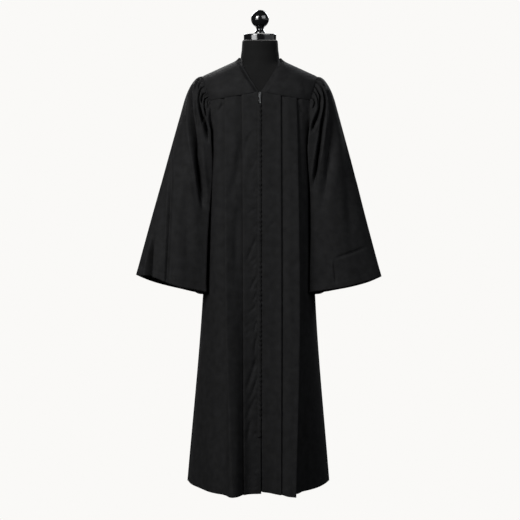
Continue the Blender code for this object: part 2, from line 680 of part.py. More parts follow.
def add_sleeve(name, side, collection):
    """A bell sleeve: gathered head, long fall, flattened cuff open below."""
    columns, rows = len(SLEEVE_ANGLES), HEAD_ROWS + FALL_ROWS
    step = 0.004
    cuff_scale = CUFF_SCALE_LEFT if side > 0 else CUFF_SCALE_RIGHT

    def place(i, j):
        angle = SLEEVE_ANGLES[i % columns]
        along = j / rows
        here = sleeve_point(angle, along, side)
        before = sleeve_point(max(0.0, angle - 2.0), along, side)
        after = sleeve_point(min(360.0, angle + 2.0), along, side)
        above = sleeve_point(angle, max(0.0, along - step), side)
        below = sleeve_point(angle, min(1.0, along + step), side)
        normal = (after - before).cross(below - above).normalized()
        face = -1 if angle <= 180 else 1
        facing = smooth(abs(normal.y) * 1.6 - 0.2)
        moved = tuck_depth(angle, along)
        for fold in SLEEVE_FOLDS:
            if fold.side == side and fold.face == face:
                moved -= fold_depth(fold, here.x, here.z) * facing
        moved += CUFF_FLUTE * math.sin(math.radians(angle) * CUFF_FLUTES) * smooth(along - 0.4) * facing
        here += normal * moved
        stretch = 1.0 + (cuff_scale - 1.0) * smooth(along)
        return Vector((side * here.x * stretch, here.y, here.z))

    cloth(name, columns, rows, place, collection, closed=True)


# Zip


def centre_front_y(z):
    return line_at(LEFT_FRONT_LINES[0], z, YOKE_CENTRE_Z, HEM_Z)[1]


def add_strip(name, x_from, x_to, z_from, z_to, forward, crown, wall, collection):
    """A narrow strip that follows the centre front, moved forward from the panels' face."""
    columns, rows = 3, 12

    def place(i, j):
        across = i / columns
        z = z_from + (z_to - z_from) * j / rows
        bulge = crown * math.sin(math.pi * across)
        return Vector((x_from + (x_to - x_from) * across, centre_front_y(z) - forward - bulge, z))

    return cloth(name, columns, rows, place, collection, wall=wall)


def flat_outline(name, splines, half_thickness, collection):
    """A flat piece in the XZ plane from closed outlines; inner outlines are holes."""
    curve = bpy.data.curves.new(name, "CURVE")
    curve.dimensions = "2D"
    curve.fill_mode = "BOTH"
    curve.extrude = half_thickness
    for points in splines:
        spline = curve.splines.new("POLY")
        spline.points.add(len(points) - 1)
        for point, (x, z) in zip(spline.points, points):
            point.co = (x, z, 0.0, 1.0)
        spline.use_cyclic_u = True
    outline = bpy.data.objects.new(name, curve)
    collection.objects.link(outline)
    outline.rotation_euler = (math.pi / 2, 0.0, 0.0)
    bpy.context.view_layer.update()
    mesh = bpy.data.meshes.new_from_object(
        outline.evaluated_get(bpy.context.evaluated_depsgraph_get())
    )
    mesh.transform(outline.matrix_world)
    bpy.data.objects.remove(outline, do_unlink=True)
    welded = bmesh.new()
    welded.from_mesh(mesh)
    bmesh.ops.remove_doubles(welded, verts=welded.verts, dist=MERGE)
    bmesh.ops.recalc_face_normals(welded, faces=welded.faces)
    welded.to_mesh(mesh)
    welded.free()
    mesh.materials.clear()
    return mesh


def arc(centre_x, centre_z, radius, start, end, steps):
    turns = [math.radians(start + (end - start) * step / steps) for step in range(steps + 1)]
    return [(centre_x + radius * math.cos(t), centre_z + radius * math.sin(t)) for t in turns]


# The slider: hinge of the pull, body, bail
HINGE_Z = 1.2750
SLIDER_WIDTH = 0.0094
SLIDER_THICKNESS = 0.0026
SLIDER_STAND_OFF = 0.0013
HINGE_HEIGHT = 0.0016
BAIL_WIDTH = 0.0016
PULL_HALF_THICKNESS = 0.0006
PULL_LENGTH = 0.0255


def slider_face_y():
    """The outer face of the slider's body."""
    return centre_front_y(HINGE_Z) - SLIDER_STAND_OFF - SLIDER_THICKNESS


def add_box(name, centre, size, collection):
    mesh = bpy.data.meshes.new(name)
    box = bmesh.new()
    bmesh.ops.create_cube(box, size=1.0, matrix=Matrix.Translation(centre) @ Matrix.Diagonal((*size, 1.0)))
    box.to_mesh(mesh)
    box.free()
    made = bpy.data.objects.new(name, mesh)
    collection.objects.link(made)
    return made


def add_slider(collection, cutters):
    """Slider body over the zip, its core in the slot between the fronts, and the bail on top."""
    face = slider_face_y()
    shield = [
        (-SLIDER_WIDTH / 2, 0.0045),
        (-SLIDER_WIDTH * 0.34, -0.0070),
        (SLIDER_WIDTH * 0.34, -0.0070),
        (SLIDER_WIDTH / 2, 0.0045),
        *arc(0.0, 0.0045, SLIDER_WIDTH / 2 * 0.86, 30, 150, 6),
    ]
    mesh = flat_outline("zip_slider", [shield], SLIDER_THICKNESS / 2, collection)
    mesh.transform(Matrix.Translation((0.0, face + SLIDER_THICKNESS / 2, HINGE_Z)))
    slider = add_object("zip_slider", mesh, collection, SILVER, 0.3, 1.0)
    core = add_box(
        "slider_core",
        Vector((0.0, face + SLIDER_THICKNESS + 0.0006, HINGE_Z - 0.0015)),
        (2 * ZIP_HALF_SLOT - 0.0016, 0.0028, 0.0095),
        cutters,
    )
    bail = add_box(
        "slider_bail",
        Vector((0.0, face - 0.0012, HINGE_Z)),
        (BAIL_WIDTH, 0.0048, 0.0078),
        cutters,
    )
    bail_opening = add_box(
        "bail_opening",
        Vector((0.0, face - HINGE_HEIGHT + 0.00005, HINGE_Z)),
        (4 * BAIL_WIDTH, 2 * (HINGE_HEIGHT - 0.0003), 0.0052),
        cutters,
    )
    for other, operation in ((core, "UNION"), (bail, "UNION"), (bail_opening, "DIFFERENCE")):
        other.hide_render = True
        other.display_type = "WIRE"
        cut = slider.modifiers.new(other.name, "BOOLEAN")
        cut.object = other
        cut.operation = operation


def add_pull(collection):
    """The pull tab: a window that rides in the bail, a plate and a round hole at its end."""
    bar, window, half_width, window_half = 0.0007, 0.0050, 0.0027, 0.0014
    tip = -PULL_LENGTH + half_width
    outline = [
        (-half_width + 0.0007, bar),
        (-half_width, bar - 0.0007),
        (-half_width * 0.78, -0.0100),
        *arc(0.0, tip, half_width, 180, 360, 10),
        (half_width * 0.78, -0.0100),
        (half_width, bar - 0.0007),
        (half_width - 0.0007, bar),
    ]
    slot = [
        (-window_half, -bar),
        (window_half, -bar),
        (window_half, -window),
        (-window_half, -window),
    ]
    hole = arc(0.0, tip, 0.0013, 0, 324, 9)
    mesh = flat_outline("zip_pull", [outline, slot, hole], PULL_HALF_THICKNESS, collection)
    pull = add_object("zip_pull", mesh, collection, SILVER, 0.25, 1.0)
    pull.location = (0.0, slider_face_y() - HINGE_HEIGHT, HINGE_Z)


def add_zip(collection, cutters):
    add_strip("zip_tape", -0.0120, 0.0120, ZIP_END_Z, 1.2800, -0.0021, 0.0, 0.0010, collection)
    add_strip("zip_placket", -0.0085, 0.0032, ZIP_END_Z - 0.004, 1.2460, 0.0026, 0.0010, WALL, collection)
    add_slider(collection, cutters)
    add_pull(collection)


def main():
    clear_scene()
    gown = bpy.data.collections.new(COLLECTION)
    cutters = bpy.data.collections.new("cutters")
    bpy.context.scene.collection.children.link(gown)
    bpy.context.scene.collection.children.link(cutters)
    add_form(gown)
    add_front_yoke("yoke_front_left", 1, gown)
    add_front_yoke("yoke_front_right", -1, gown)
    add_back_yoke(gown)
    add_front("front_left", 1, LEFT_FRONT_LINES, 0.006, gown)
    add_front("front_right", -1, RIGHT_FRONT_LINES, 0.0, gown)
    add_back(gown)
    add_sleeve("sleeve_left", 1, gown)
    add_sleeve("sleeve_right", -1, gown)
    add_zip(gown, cutters)


main()
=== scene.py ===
"""The looks of a graduation gown on a limbless dress form.

Metres, +Z up. The front faces -Y and the wearer's left is +X.
"""

import math
from collections import namedtuple

import bmesh
import bpy
import numpy as np
from mathutils import Matrix, Vector
from mathutils.bvhtree import BVHTree


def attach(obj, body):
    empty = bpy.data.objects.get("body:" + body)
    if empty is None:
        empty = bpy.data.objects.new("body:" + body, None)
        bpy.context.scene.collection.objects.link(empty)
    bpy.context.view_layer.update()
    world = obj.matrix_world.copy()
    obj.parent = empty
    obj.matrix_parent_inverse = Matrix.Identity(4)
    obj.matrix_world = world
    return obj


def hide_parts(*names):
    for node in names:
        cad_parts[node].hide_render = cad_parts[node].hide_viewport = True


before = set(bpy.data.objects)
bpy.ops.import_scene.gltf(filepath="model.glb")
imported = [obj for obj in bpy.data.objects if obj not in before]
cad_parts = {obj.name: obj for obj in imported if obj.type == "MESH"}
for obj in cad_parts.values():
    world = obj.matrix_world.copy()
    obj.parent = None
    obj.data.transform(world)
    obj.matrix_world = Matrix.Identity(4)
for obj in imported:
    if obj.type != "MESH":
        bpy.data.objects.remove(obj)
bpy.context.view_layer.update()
DRESSED = "dressed_form"


# ---------------------------------------------------------------------------------------------
# Stand: a round steel base plate with a hub and a straight pole, both powder coated black.
# The pole is pressed into the hub and carries the form. Both keep their CAD shape.


def start_material(name, colour, roughness, metallic=0.0):
    """A new material with a plain shader, its node tree and the shader."""
    made = bpy.data.materials.new(name)
    made.use_nodes = True
    shader = made.node_tree.nodes["Principled BSDF"]
    shader.inputs["Base Color"].default_value = (*colour, 1.0)
    shader.inputs["Roughness"].default_value = roughness
    shader.inputs["Metallic"].default_value = metallic
    return made, made.node_tree, shader


def add_node(tree, kind, inputs, **settings):
    """A node with its settings; an input takes a number or another node's socket."""
    made = tree.nodes.new(kind)
    for name, value in settings.items():
        setattr(made, name, value)
    for name, value in inputs.items():
        if isinstance(value, bpy.types.NodeSocket):
            tree.links.new(value, made.inputs[name])
        else:
            made.inputs[name].default_value = value
    return made


def work_out(tree, operation, *values):
    """The result of one Math node."""
    return add_node(tree, "ShaderNodeMath", dict(enumerate(values)), operation=operation).outputs[0]


def object_place(tree):
    return add_node(tree, "ShaderNodeTexCoord", {}).outputs["Object"]


def add_group(tree, group, inputs):
    return add_node(tree, "ShaderNodeGroup", inputs, node_tree=group)


def start_group(name, inputs, outputs):
    """An empty node group with named number, vector and colour sockets."""
    group = bpy.data.node_groups.new(name, "ShaderNodeTree")
    for socket, kind, value in inputs:
        made = group.interface.new_socket(socket, in_out="INPUT", socket_type=kind)
        if value is not None:
            made.default_value = value
    for socket, kind in outputs:
        group.interface.new_socket(socket, in_out="OUTPUT", socket_type=kind)
    return group, group.nodes.new("NodeGroupInput"), group.nodes.new("NodeGroupOutput")


def make_spread_group():
    """Turns a base value into one that varies over the surface in soft patches and fine grain."""
    group, given, made = start_group(
        "uneven_value",
        (
            ("Vector", "NodeSocketVector", None),
            ("Value", "NodeSocketFloat", 0.5),
            ("Patch Scale", "NodeSocketFloat", 12.0),
            ("Patch Amount", "NodeSocketFloat", 0.1),
            ("Grain Scale", "NodeSocketFloat", 400.0),
            ("Grain Amount", "NodeSocketFloat", 0.1),
        ),
        (("Value", "NodeSocketFloat"), ("Patch", "NodeSocketFloat"), ("Grain", "NodeSocketFloat")),
    )
    total = given.outputs["Value"]
    for part in ("Patch", "Grain"):
        noise = add_node(
            group,
            "ShaderNodeTexNoise",
            {"Vector": given.outputs["Vector"], "Scale": given.outputs[f"{part} Scale"], "Detail": 2.0},
        )
        group.links.new(noise.outputs["Fac"], made.inputs[part])
        centred = work_out(group, "SUBTRACT", noise.outputs["Fac"], 0.5)
        share = work_out(group, "MULTIPLY_ADD", centred, given.outputs[f"{part} Amount"], 1.0)
        total = work_out(group, "MULTIPLY", total, share)
    group.links.new(total, made.inputs["Value"])
    return group


UNEVEN = make_spread_group()


def vary(tree, shader, socket, inputs):
    """Lets one value of the shader vary over the surface; the group that does it."""
    spread = add_group(tree, UNEVEN, inputs)
    tree.links.new(spread.outputs["Value"], shader.inputs[socket])
    return spread


def add_bump(tree, shader, height, strength, distance):
    """Makes the surface look raised by a height times the distance."""
    bump = add_node(
        tree, "ShaderNodeBump", {"Height": height, "Strength": strength, "Distance": distance}
    )
    tree.links.new(bump.outputs["Normal"], shader.inputs["Normal"])


def make_powder_coat():
    made, tree, shader = start_material("powder_coat_black", (0.030, 0.030, 0.032), 0.42)
    place = object_place(tree)
    rough = vary(
        tree,
        shader,
        "Roughness",
        {"Vector": place, "Value": 0.42, "Patch Scale": 9.0, "Patch Amount": 0.5},
    )
    peel = add_node(tree, "ShaderNodeTexNoise", {"Vector": place, "Scale": 650.0, "Detail": 1.0})
    add_bump(tree, shader, peel.outputs["Fac"], strength=0.25, distance=0.0002)
    dust = add_node(
        tree,
        "ShaderNodeMix",
        {
            "Factor": rough.outputs["Patch"],
            6: (0.024, 0.024, 0.026, 1.0),
            7: (0.046, 0.045, 0.044, 1.0),
        },
        data_type="RGBA",
    )
    tree.links.new(dust.outputs[2], shader.inputs["Base Color"])
    return made


def finish_node(name, material):
    """A CAD node that keeps its shape gets its finish."""
    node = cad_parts[name]
    node.data.materials.clear()
    node.data.materials.append(material)


POWDER_COAT = make_powder_coat()
for stand_node in ("form_base", "form_pole"):
    finish_node(stand_node, POWDER_COAT)


# ---------------------------------------------------------------------------------------------
# Torso: a hard foam bust padded and covered tight with black cotton jersey. The cover is sewn
# from a neck band and long panels, so it has a seam round the neck and seams up the body.

FormSection = namedtuple("FormSection", "z half_width front back squareness")
FORM_SECTIONS = (
    FormSection(0.6400, 0.1280, 0.0850, 0.0900, 2.2),
    FormSection(0.6520, 0.1460, 0.0990, 0.1040, 2.3),
    FormSection(0.7100, 0.1550, 0.1050, 0.1130, 2.3),
    FormSection(0.7900, 0.1570, 0.1080, 0.1180, 2.3),
    FormSection(0.8900, 0.1450, 0.1010, 0.1120, 2.2),
    FormSection(1.0100, 0.1210, 0.0900, 0.0970, 2.1),
    FormSection(1.0900, 0.1320, 0.1030, 0.0990, 2.2),
    FormSection(1.1700, 0.1470, 0.1110, 0.1020, 2.3),
    FormSection(1.2300, 0.1600, 0.1090, 0.1040, 2.4),
    FormSection(1.2800, 0.1700, 0.1040, 0.1010, 2.5),
    FormSection(1.3100, 0.1720, 0.0980, 0.0940, 2.5),
    FormSection(1.3250, 0.1670, 0.0900, 0.0880, 2.4),
    FormSection(1.3340, 0.1520, 0.0850, 0.0830, 2.4),
    FormSection(1.3460, 0.1230, 0.0780, 0.0760, 2.3),
    FormSection(1.3580, 0.0950, 0.0700, 0.0680, 2.2),
    FormSection(1.3690, 0.0705, 0.0650, 0.0635, 2.0),
    FormSection(1.3780, 0.0625, 0.0620, 0.0615, 2.0),
    FormSection(1.3940, 0.0612, 0.0605, 0.0605, 2.0),
    FormSection(1.4130, 0.0586, 0.0580, 0.0580, 2.0),
    FormSection(1.4400, 0.0566, 0.0566, 0.0566, 2.0),
    FormSection(1.4445, 0.0540, 0.0540, 0.0540, 2.0),
)
MERGE = 0.00001
NECK_SEAM_BACK_Z = 1.3700
NECK_SEAM_DROP = 0.0080
JERSEY_SEAM_WIDTH = 0.0014
JERSEY_SEAM_DEPTH = 0.0016
# The long seams, as shares of half a turn from the wearer's left, and how far down from the neck
# seam they take to reach their full depth
LONG_SEAM_TURNS, LONG_SEAM_START = (-0.5, 0.5, 0.0, 1.0), 0.004
TORSO_RINGS, TORSO_STEPS, RINGS_CROWDED_UP = 170, 112, 1.25


def ease(value):
    """0 to 1 with level ends."""
    value = np.clip(value, 0.0, 1.0)
    return value * value * (3.0 - 2.0 * value)


def hump(offset, width):
    """A soft bell, 1 at the middle."""
    return np.exp(-((offset / width) ** 2))


def curve_through(keys, values, at):
    """A smooth curve through the values that never overshoots them, read at many places."""
    keys, values = np.asarray(keys, float), np.asarray(values, float)
    at = np.clip(at, keys[0], keys[-1])
    spans = np.diff(keys)
    steps = np.diff(values) / spans
    slopes = np.concatenate(([steps[0]], np.zeros(len(keys) - 2), [steps[-1]]))
    both = steps[:-1] * steps[1:]
    turning = both > 0
    slopes[1:-1][turning] = 2 * both[turning] / (steps[:-1] + steps[1:])[turning]
    i = np.clip(np.searchsorted(keys, at, side="right") - 1, 0, len(keys) - 2)
    t = (at - keys[i]) / spans[i]
    return (
        values[i] * (2 * t**3 - 3 * t**2 + 1)
        + slopes[i] * spans[i] * (t**3 - 2 * t**2 + t)
        + values[i + 1] * (3 * t**2 - 2 * t**3)
        + slopes[i + 1] * spans[i] * (t**3 - t**2)
    )


def column(rows, name, at):
    """The named column of a table, read at values of its first column."""
    return curve_through([row[0] for row in rows], [getattr(row, name) for row in rows], at)


def grid_mesh(name, places, closed=False):
    """A mesh of one grid whose corners take their places from a rows x columns x 3 array. Its UV
    map, the cut, measures the cloth in metres across and down."""
    rows, columns = places.shape[0] - 1, places.shape[1] - 1
    mesh = bpy.data.meshes.new(name)
    grid = bmesh.new()
    bmesh.ops.create_grid(grid, x_segments=columns, y_segments=rows, size=0.5)
    where = [(round((v.co.y + 0.5) * rows), round((v.co.x + 0.5) * columns)) for v in grid.verts]
    for vert, (row, col) in zip(grid.verts, where):
        vert.co = places[row, col]
    across = np.linalg.norm(np.diff(places, axis=1), axis=2)
    across = np.concatenate((np.zeros((rows + 1, 1)), np.cumsum(across, axis=1)), axis=1)
    down = np.linalg.norm(np.diff(places, axis=0), axis=2).mean(axis=1)
    down = np.concatenate(([0.0], np.cumsum(down)))
    layer = grid.loops.layers.uv.new("cut")
    grid.verts.index_update()
    for face in grid.faces:
        for loop in face.loops:
            row, col = where[loop.vert.index]
            loop[layer].uv = (across[row, col], down[row])
    if closed:
        bmesh.ops.remove_doubles(grid, verts=grid.verts, dist=MERGE)
    grid.to_mesh(mesh)
    grid.free()
    mesh.shade_smooth()
    return mesh


def add_piece(name, mesh, material, slot, *stands_for, body=DRESSED):
    """A finished piece: in the scene, in its material, on its body, in place of its CAD nodes."""
    piece = bpy.data.objects.new(name, mesh)
    bpy.context.scene.collection.objects.link(piece)
    mesh.materials.clear()
    mesh.materials.append(material)
    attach(piece, body)
    if stands_for:
        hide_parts(*stands_for)
    return piece


def make_jersey():
    made, tree, shader = start_material("jersey_black", (0.0064, 0.0064, 0.0067), 0.85)
    shader.inputs["Specular IOR Level"].default_value = 0.06
    shader.inputs["Sheen Weight"].default_value = 0.05
    shader.inputs["Sheen Roughness"].default_value = 0.5
    shader.inputs["Sheen Tint"].default_value = (0.35, 0.35, 0.36, 1.0)
    cut = add_node(tree, "ShaderNodeUVMap", {}, uv_map="cut").outputs["UV"]
    place = object_place(tree)
    ribs = add_node(
        tree,
        "ShaderNodeTexWave",
        {"Vector": cut, "Scale": 190.0, "Distortion": 0.6, "Detail": 1.0, "Detail Scale": 4.0},
        wave_type="BANDS",
        bands_direction="X",
        wave_profile="SIN",
    )
    shade = vary(
        tree,
        shader,
        "Base Color",
        {
            "Vector": place,
            "Value": 0.0064,
            "Patch Scale": 30.0,
            "Patch Amount": 0.35,
            "Grain Scale": 900.0,
            "Grain Amount": 0.5,
        },
    )
    fuzz = work_out(tree, "ADD", ribs.outputs["Fac"], shade.outputs["Grain"])
    add_bump(tree, shader, fuzz, strength=0.35, distance=0.0003)
    return made


def add_torso():
    """The covered bust: rings of the section table, its sewn seams drawn in as grooves."""
    top, low = FORM_SECTIONS[-1].z, FORM_SECTIONS[0].z
    z = top + (low - top) * np.linspace(0.0, 1.0, TORSO_RINGS + 1)[:, None] ** RINGS_CROWDED_UP
    turn = 2 * math.pi * np.linspace(0.0, 1.0, TORSO_STEPS + 1)[None, :]
    z, turn = np.broadcast_arrays(z, turn)
    power = 2.0 / column(FORM_SECTIONS, "squareness", z)
    across, along = np.cos(turn), np.sin(turn)
    depth = np.where(
        along > 0, column(FORM_SECTIONS, "back", z), column(FORM_SECTIONS, "front", z)
    )
    x = np.sign(across) * np.abs(across) ** power * column(FORM_SECTIONS, "half_width", z)
    y = np.sign(along) * np.abs(along) ** power * depth
    neck_seam_z = NECK_SEAM_BACK_Z - NECK_SEAM_DROP * (1.0 - along)
    groove = hump(z - neck_seam_z, JERSEY_SEAM_WIDTH)
    below = ease((neck_seam_z - z) / LONG_SEAM_START)
    for seam_turn in LONG_SEAM_TURNS:
        away = np.abs(np.angle(np.exp(1j * (turn - seam_turn * math.pi)))) * np.hypot(x, y)
        groove = np.maximum(groove, hump(away, JERSEY_SEAM_WIDTH) * below)
    inward = JERSEY_SEAM_DEPTH * groove / np.maximum(np.hypot(x, y), 0.01)
    places = np.stack((x * (1 - inward), y * (1 - inward), z), axis=2)
    mesh = grid_mesh("form_torso_cover", places, closed=True)
    ends = bmesh.new()
    ends.from_mesh(mesh)
    bmesh.ops.holes_fill(ends, edges=[e for e in ends.edges if e.is_boundary], sides=0)
    bmesh.ops.recalc_face_normals(ends, faces=ends.faces)
    ends.to_mesh(mesh)
    ends.free()
    torso = add_piece("form_torso_cover", mesh, make_jersey(), "form_jersey", "form_torso")
    return BVHTree.FromPolygons([v.co for v in mesh.vertices], [p.vertices for p in mesh.polygons])


TORSO_SURFACE = add_torso()


# ---------------------------------------------------------------------------------------------
# Neck cap and ball finial: turned wood, lacquered to a deep black gloss. The cap closes the
# neck, and the finial stands on it on a short waisted foot.

CAP_LOW, CAP_HIGH, CAP_RADIUS = 1.4449, 1.4652, 0.0517
BALL_Z, BALL_RADIUS = 1.5115, 0.0286
BALL_FOOT_RADIUS, FOOT_Z = 0.0168, 1.4660


def make_lacquer():
    made, tree, shader = start_material("black_gloss_lacquer", (0.004, 0.004, 0.0044), 0.16)
    shader.inputs["IOR"].default_value = 1.75
    shader.inputs["Coat Weight"].default_value = 0.35
    shader.inputs["Coat Roughness"].default_value = 0.06
    place = object_place(tree)
    vary(
        tree,
        shader,
        "Roughness",
        {"Vector": place, "Value": 0.16, "Patch Scale": 45.0, "Patch Amount": 0.6, "Grain Amount": 0.2},
    )
    flow = add_node(tree, "ShaderNodeTexNoise", {"Vector": place, "Scale": 60.0, "Detail": 1.0})
    add_bump(tree, shader, flow.outputs["Fac"], strength=0.08, distance=0.0006)
    return made


def turned_mesh(name, profile, steps=96):
    """A profile of (radius, z) places, both ends on the axis, spun round Z."""
    mesh = bpy.data.meshes.new(name)
    lathe = bmesh.new()
    verts = [lathe.verts.new((radius, 0.0, z)) for radius, z in profile]
    edges = [lathe.edges.new(pair) for pair in zip(verts, verts[1:])]
    bmesh.ops.spin(
        lathe,
        geom=verts + edges,
        cent=(0.0, 0.0, 0.0),
        axis=(0.0, 0.0, 1.0),
        angle=2 * math.pi,
        steps=steps,
        use_merge=True,
    )
    bmesh.ops.remove_doubles(lathe, verts=lathe.verts, dist=MERGE)
    bmesh.ops.recalc_face_normals(lathe, faces=lathe.faces)
    lathe.to_mesh(mesh)
    lathe.free()
    mesh.shade_smooth()
    return mesh


def rounded(corners, radius, steps=5):
    """The corners of a profile with each inner one rounded off."""
    made = [corners[0]]
    for before, corner, after in zip(corners, corners[1:], corners[2:]):
        before, corner, after = Vector(before), Vector(corner), Vector(after)
        reach = min(radius, (before - corner).length / 2.2, (after - corner).length / 2.2)
        start = corner + (before - corner).normalized() * reach
        end = corner + (after - corner).normalized() * reach
        for step in range(steps + 1):
            t = step / steps
            made.append(tuple(start * (1 - t) ** 2 + corner * 2 * t * (1 - t) + end * t**2))
    return [*made, corners[-1]]


LACQUER = make_lacquer()
add_piece(
    "neck_cap_turned",
    turned_mesh(
        "neck_cap_turned",
        rounded(
            [
                (0.0, CAP_HIGH + 0.0002),
                (0.0300, CAP_HIGH),
                (CAP_RADIUS - 0.0012, CAP_HIGH - 0.0004),
                (CAP_RADIUS, CAP_HIGH - 0.0028),
                (CAP_RADIUS, CAP_HIGH - 0.0060),
                (CAP_RADIUS, CAP_LOW + 0.0030),
                (CAP_RADIUS, CAP_LOW + 0.0006),
                (CAP_RADIUS - 0.0006, CAP_LOW),
                (0.0, CAP_LOW),
            ],
            0.0016,
        ),
    ),
    LACQUER,
    "gloss_black",
    "form_neck_cap",
)
waist_angle = math.asin(BALL_FOOT_RADIUS / BALL_RADIUS)
ball_arc = [
    (BALL_RADIUS * math.sin(t), BALL_Z + BALL_RADIUS * math.cos(t))
    for t in np.linspace(0.0, math.pi - waist_angle, 40)
]
foot_curve = rounded(
    [ball_arc[-1], (0.0128, 1.4845), (0.0110, 1.4795), (0.0165, 1.4710), (0.0178, FOOT_Z), (0.0, FOOT_Z)],
    0.0040,
)
add_piece(
    "ball_finial_turned",
    turned_mesh("ball_finial_turned", ball_arc + foot_curve[1:]),
    LACQUER,
    "gloss_black",
    "form_finial",
)


# ---------------------------------------------------------------------------------------------
# Gown cloth: a plain weave of black polyester, matt with a faint sheen, in one layer of about
# a millimetre. Every cloth piece below is cut from it and sewn to its neighbours.

CLOTH_WALL = 0.0010
WARP_THREADS = 1250.0
SEAM_GAP = 0.0008


def make_weave_group():
    """Over and under threads from a cut's own measure in metres."""
    group, given, made = start_group(
        "plain_weave",
        (("Cut", "NodeSocketVector", None), ("Threads", "NodeSocketFloat", 1000.0)),
        (("Height", "NodeSocketFloat"),),
    )
    turns = work_out(group, "MULTIPLY", given.outputs["Threads"], 2 * math.pi)
    apart = add_node(group, "ShaderNodeSeparateXYZ", {"Vector": given.outputs["Cut"]})
    waves = []
    for axis in ("X", "Y"):
        waves.append(work_out(group, "SINE", work_out(group, "MULTIPLY", apart.outputs[axis], turns)))
    crossed = work_out(group, "MULTIPLY", *waves)
    group.links.new(work_out(group, "MULTIPLY_ADD", crossed, 0.5, 0.5), made.inputs["Height"])
    return group


WEAVE = make_weave_group()


def make_gown_cloth(name="gown_polyester", shade=0.0105, threads=WARP_THREADS):
    made, tree, shader = start_material(name, (shade, shade, shade * 1.03), 0.74)
    shader.inputs["Specular IOR Level"].default_value = 0.05
    shader.inputs["Sheen Weight"].default_value = 0.015
    shader.inputs["Sheen Roughness"].default_value = 0.4
    shader.inputs["Sheen Tint"].default_value = (0.5, 0.5, 0.52, 1.0)
    place = object_place(tree)
    cut = add_node(tree, "ShaderNodeUVMap", {}, uv_map="cut").outputs["UV"]
    dye = add_group(
        tree,
        UNEVEN,
        {
            "Vector": place,
            "Value": 1.0,
            "Patch Scale": 46.0,
            "Patch Amount": 0.90,
            "Grain Scale": 420.0,
            "Grain Amount": 0.35,
        },
    )
    colour = add_node(
        tree,
        "ShaderNodeMix",
        {
            "Factor": work_out(tree, "SUBTRACT", dye.outputs["Value"], 0.5),
            6: (shade * 0.5, shade * 0.5, shade * 0.51, 1.0),
            7: (shade * 1.5, shade * 1.5, shade * 1.55, 1.0),
        },
        data_type="RGBA",
    )
    tree.links.new(colour.outputs[2], shader.inputs["Base Color"])
    vary(
        tree,
        shader,
        "Roughness",
        {"Vector": place, "Value": 0.74, "Patch Scale": 20.0, "Patch Amount": 0.25},
    )
    weave = add_group(tree, WEAVE, {"Cut": cut, "Threads": threads})
    slub = work_out(tree, "MULTIPLY_ADD", dye.outputs["Grain"], 1.2, weave.outputs["Height"])
    add_bump(tree, shader, slub, strength=0.30, distance=0.0002)
    return made


GOWN_CLOTH = make_gown_cloth()


def surface_normals(places):
    """Unit normals of a grid of places, pointing to the side its faces show."""
    along = np.gradient(places, axis=1)
    down = np.gradient(places, axis=0)
    normals = np.cross(along, down)
    return normals / np.maximum(np.linalg.norm(normals, axis=2, keepdims=True), 1e-12)


def add_cloth(
    name, places, stands_for, material=GOWN_CLOTH, slot="gown_cloth", closed=False, wall=CLOTH_WALL
):
    """One cut piece of cloth: a grid of places given its wall on both sides."""
    piece = add_piece(name, grid_mesh(name, places, closed), material, slot, stands_for)
    solidify = piece.modifiers.new("wall", "SOLIDIFY")
    solidify.thickness = wall
    solidify.offset = 0.0
    solidify.use_quality_normals = True
    solidify.thickness_clamp = 1.0
    return piece


# A soft crease pressed in (depth over 0) or standing out along a curve through three places
# seen from the front.
Crease = namedtuple("Crease", "x_high z_high x_middle z_middle x_low z_low depth width")
# The shares of its length over which a crease comes in and runs out
CREASE_RUN_IN, CREASE_RUN_OUT = 0.25, 0.35


def crease_depth(rows, x, z):
    """How far the creases of a table move the cloth at each place."""
    total = np.zeros_like(x)
    for row in rows:
        start = np.array((row.x_high, row.z_high))
        run = np.array((row.x_low, row.z_low)) - start
        length = np.hypot(*run)
        run /= length
        middle = np.array((row.x_middle, row.z_middle)) - start
        bend = middle[0] * run[1] - middle[1] * run[0]
        centre = np.clip(middle @ run / length, 0.2, 0.8)
        share = ((x - start[0]) * run[0] + (z - start[1]) * run[1]) / length
        off = (x - start[0]) * run[1] - (z - start[1]) * run[0]
        from_centre = np.where(share < centre, (centre - share) / centre, (share - centre) / (1 - centre))
        valley = hump(off - bend * (1 - from_centre**2), row.width)
        total += row.depth * ease(share / CREASE_RUN_IN) * ease((1 - share) / CREASE_RUN_OUT) * valley
    return total


# ---------------------------------------------------------------------------------------------
# Yoke: two fronts that meet under the V neck and one back, the flat shoulder part of the gown.
# Neck edges are turned in and pressed, so they stand a little proud of the cloth.

NECK_POINT = Vector((0.0665, 0.0, 1.3814))
SHOULDER_TIP = Vector((0.1810, 0.0, 1.3293))
NECK_RISE, NECK_RISE_SHARE = 0.0055, 0.17
YOKE_CENTRE_Z, YOKE_SIDE_Z, YOKE_SIDE_X = 1.2830, 1.2540, 0.1590
YOKE_DEPTH_CENTRE, YOKE_DEPTH_SIDE = 0.1160, 0.0750
YOKE_BOXINESS = 3.6
BACK_NECK_Y, BACK_NECK_DROP = 0.0715, 0.0120
BACK_YOKE_CENTRE_Z = 1.2600
BACK_DEPTH_CENTRE, BACK_DEPTH_SIDE = 0.1130, 0.0820
BACK_NECK_SHARE = 0.42
BACK_YOKE_RIPPLE = 0.0010
RIGHT_SHOULDER_RISE = 0.0014
EDGE_ROLL_WIDTH = 0.0016
EDGE_ROLL_HEIGHT = 0.0007
NECK_EDGE_GAP, NECK_PRESSED_WIDTH = 0.0012, 0.0140
SEAM_GROOVE_WIDTH = 0.0026
SEAM_GROOVE_DEPTH = 0.0007

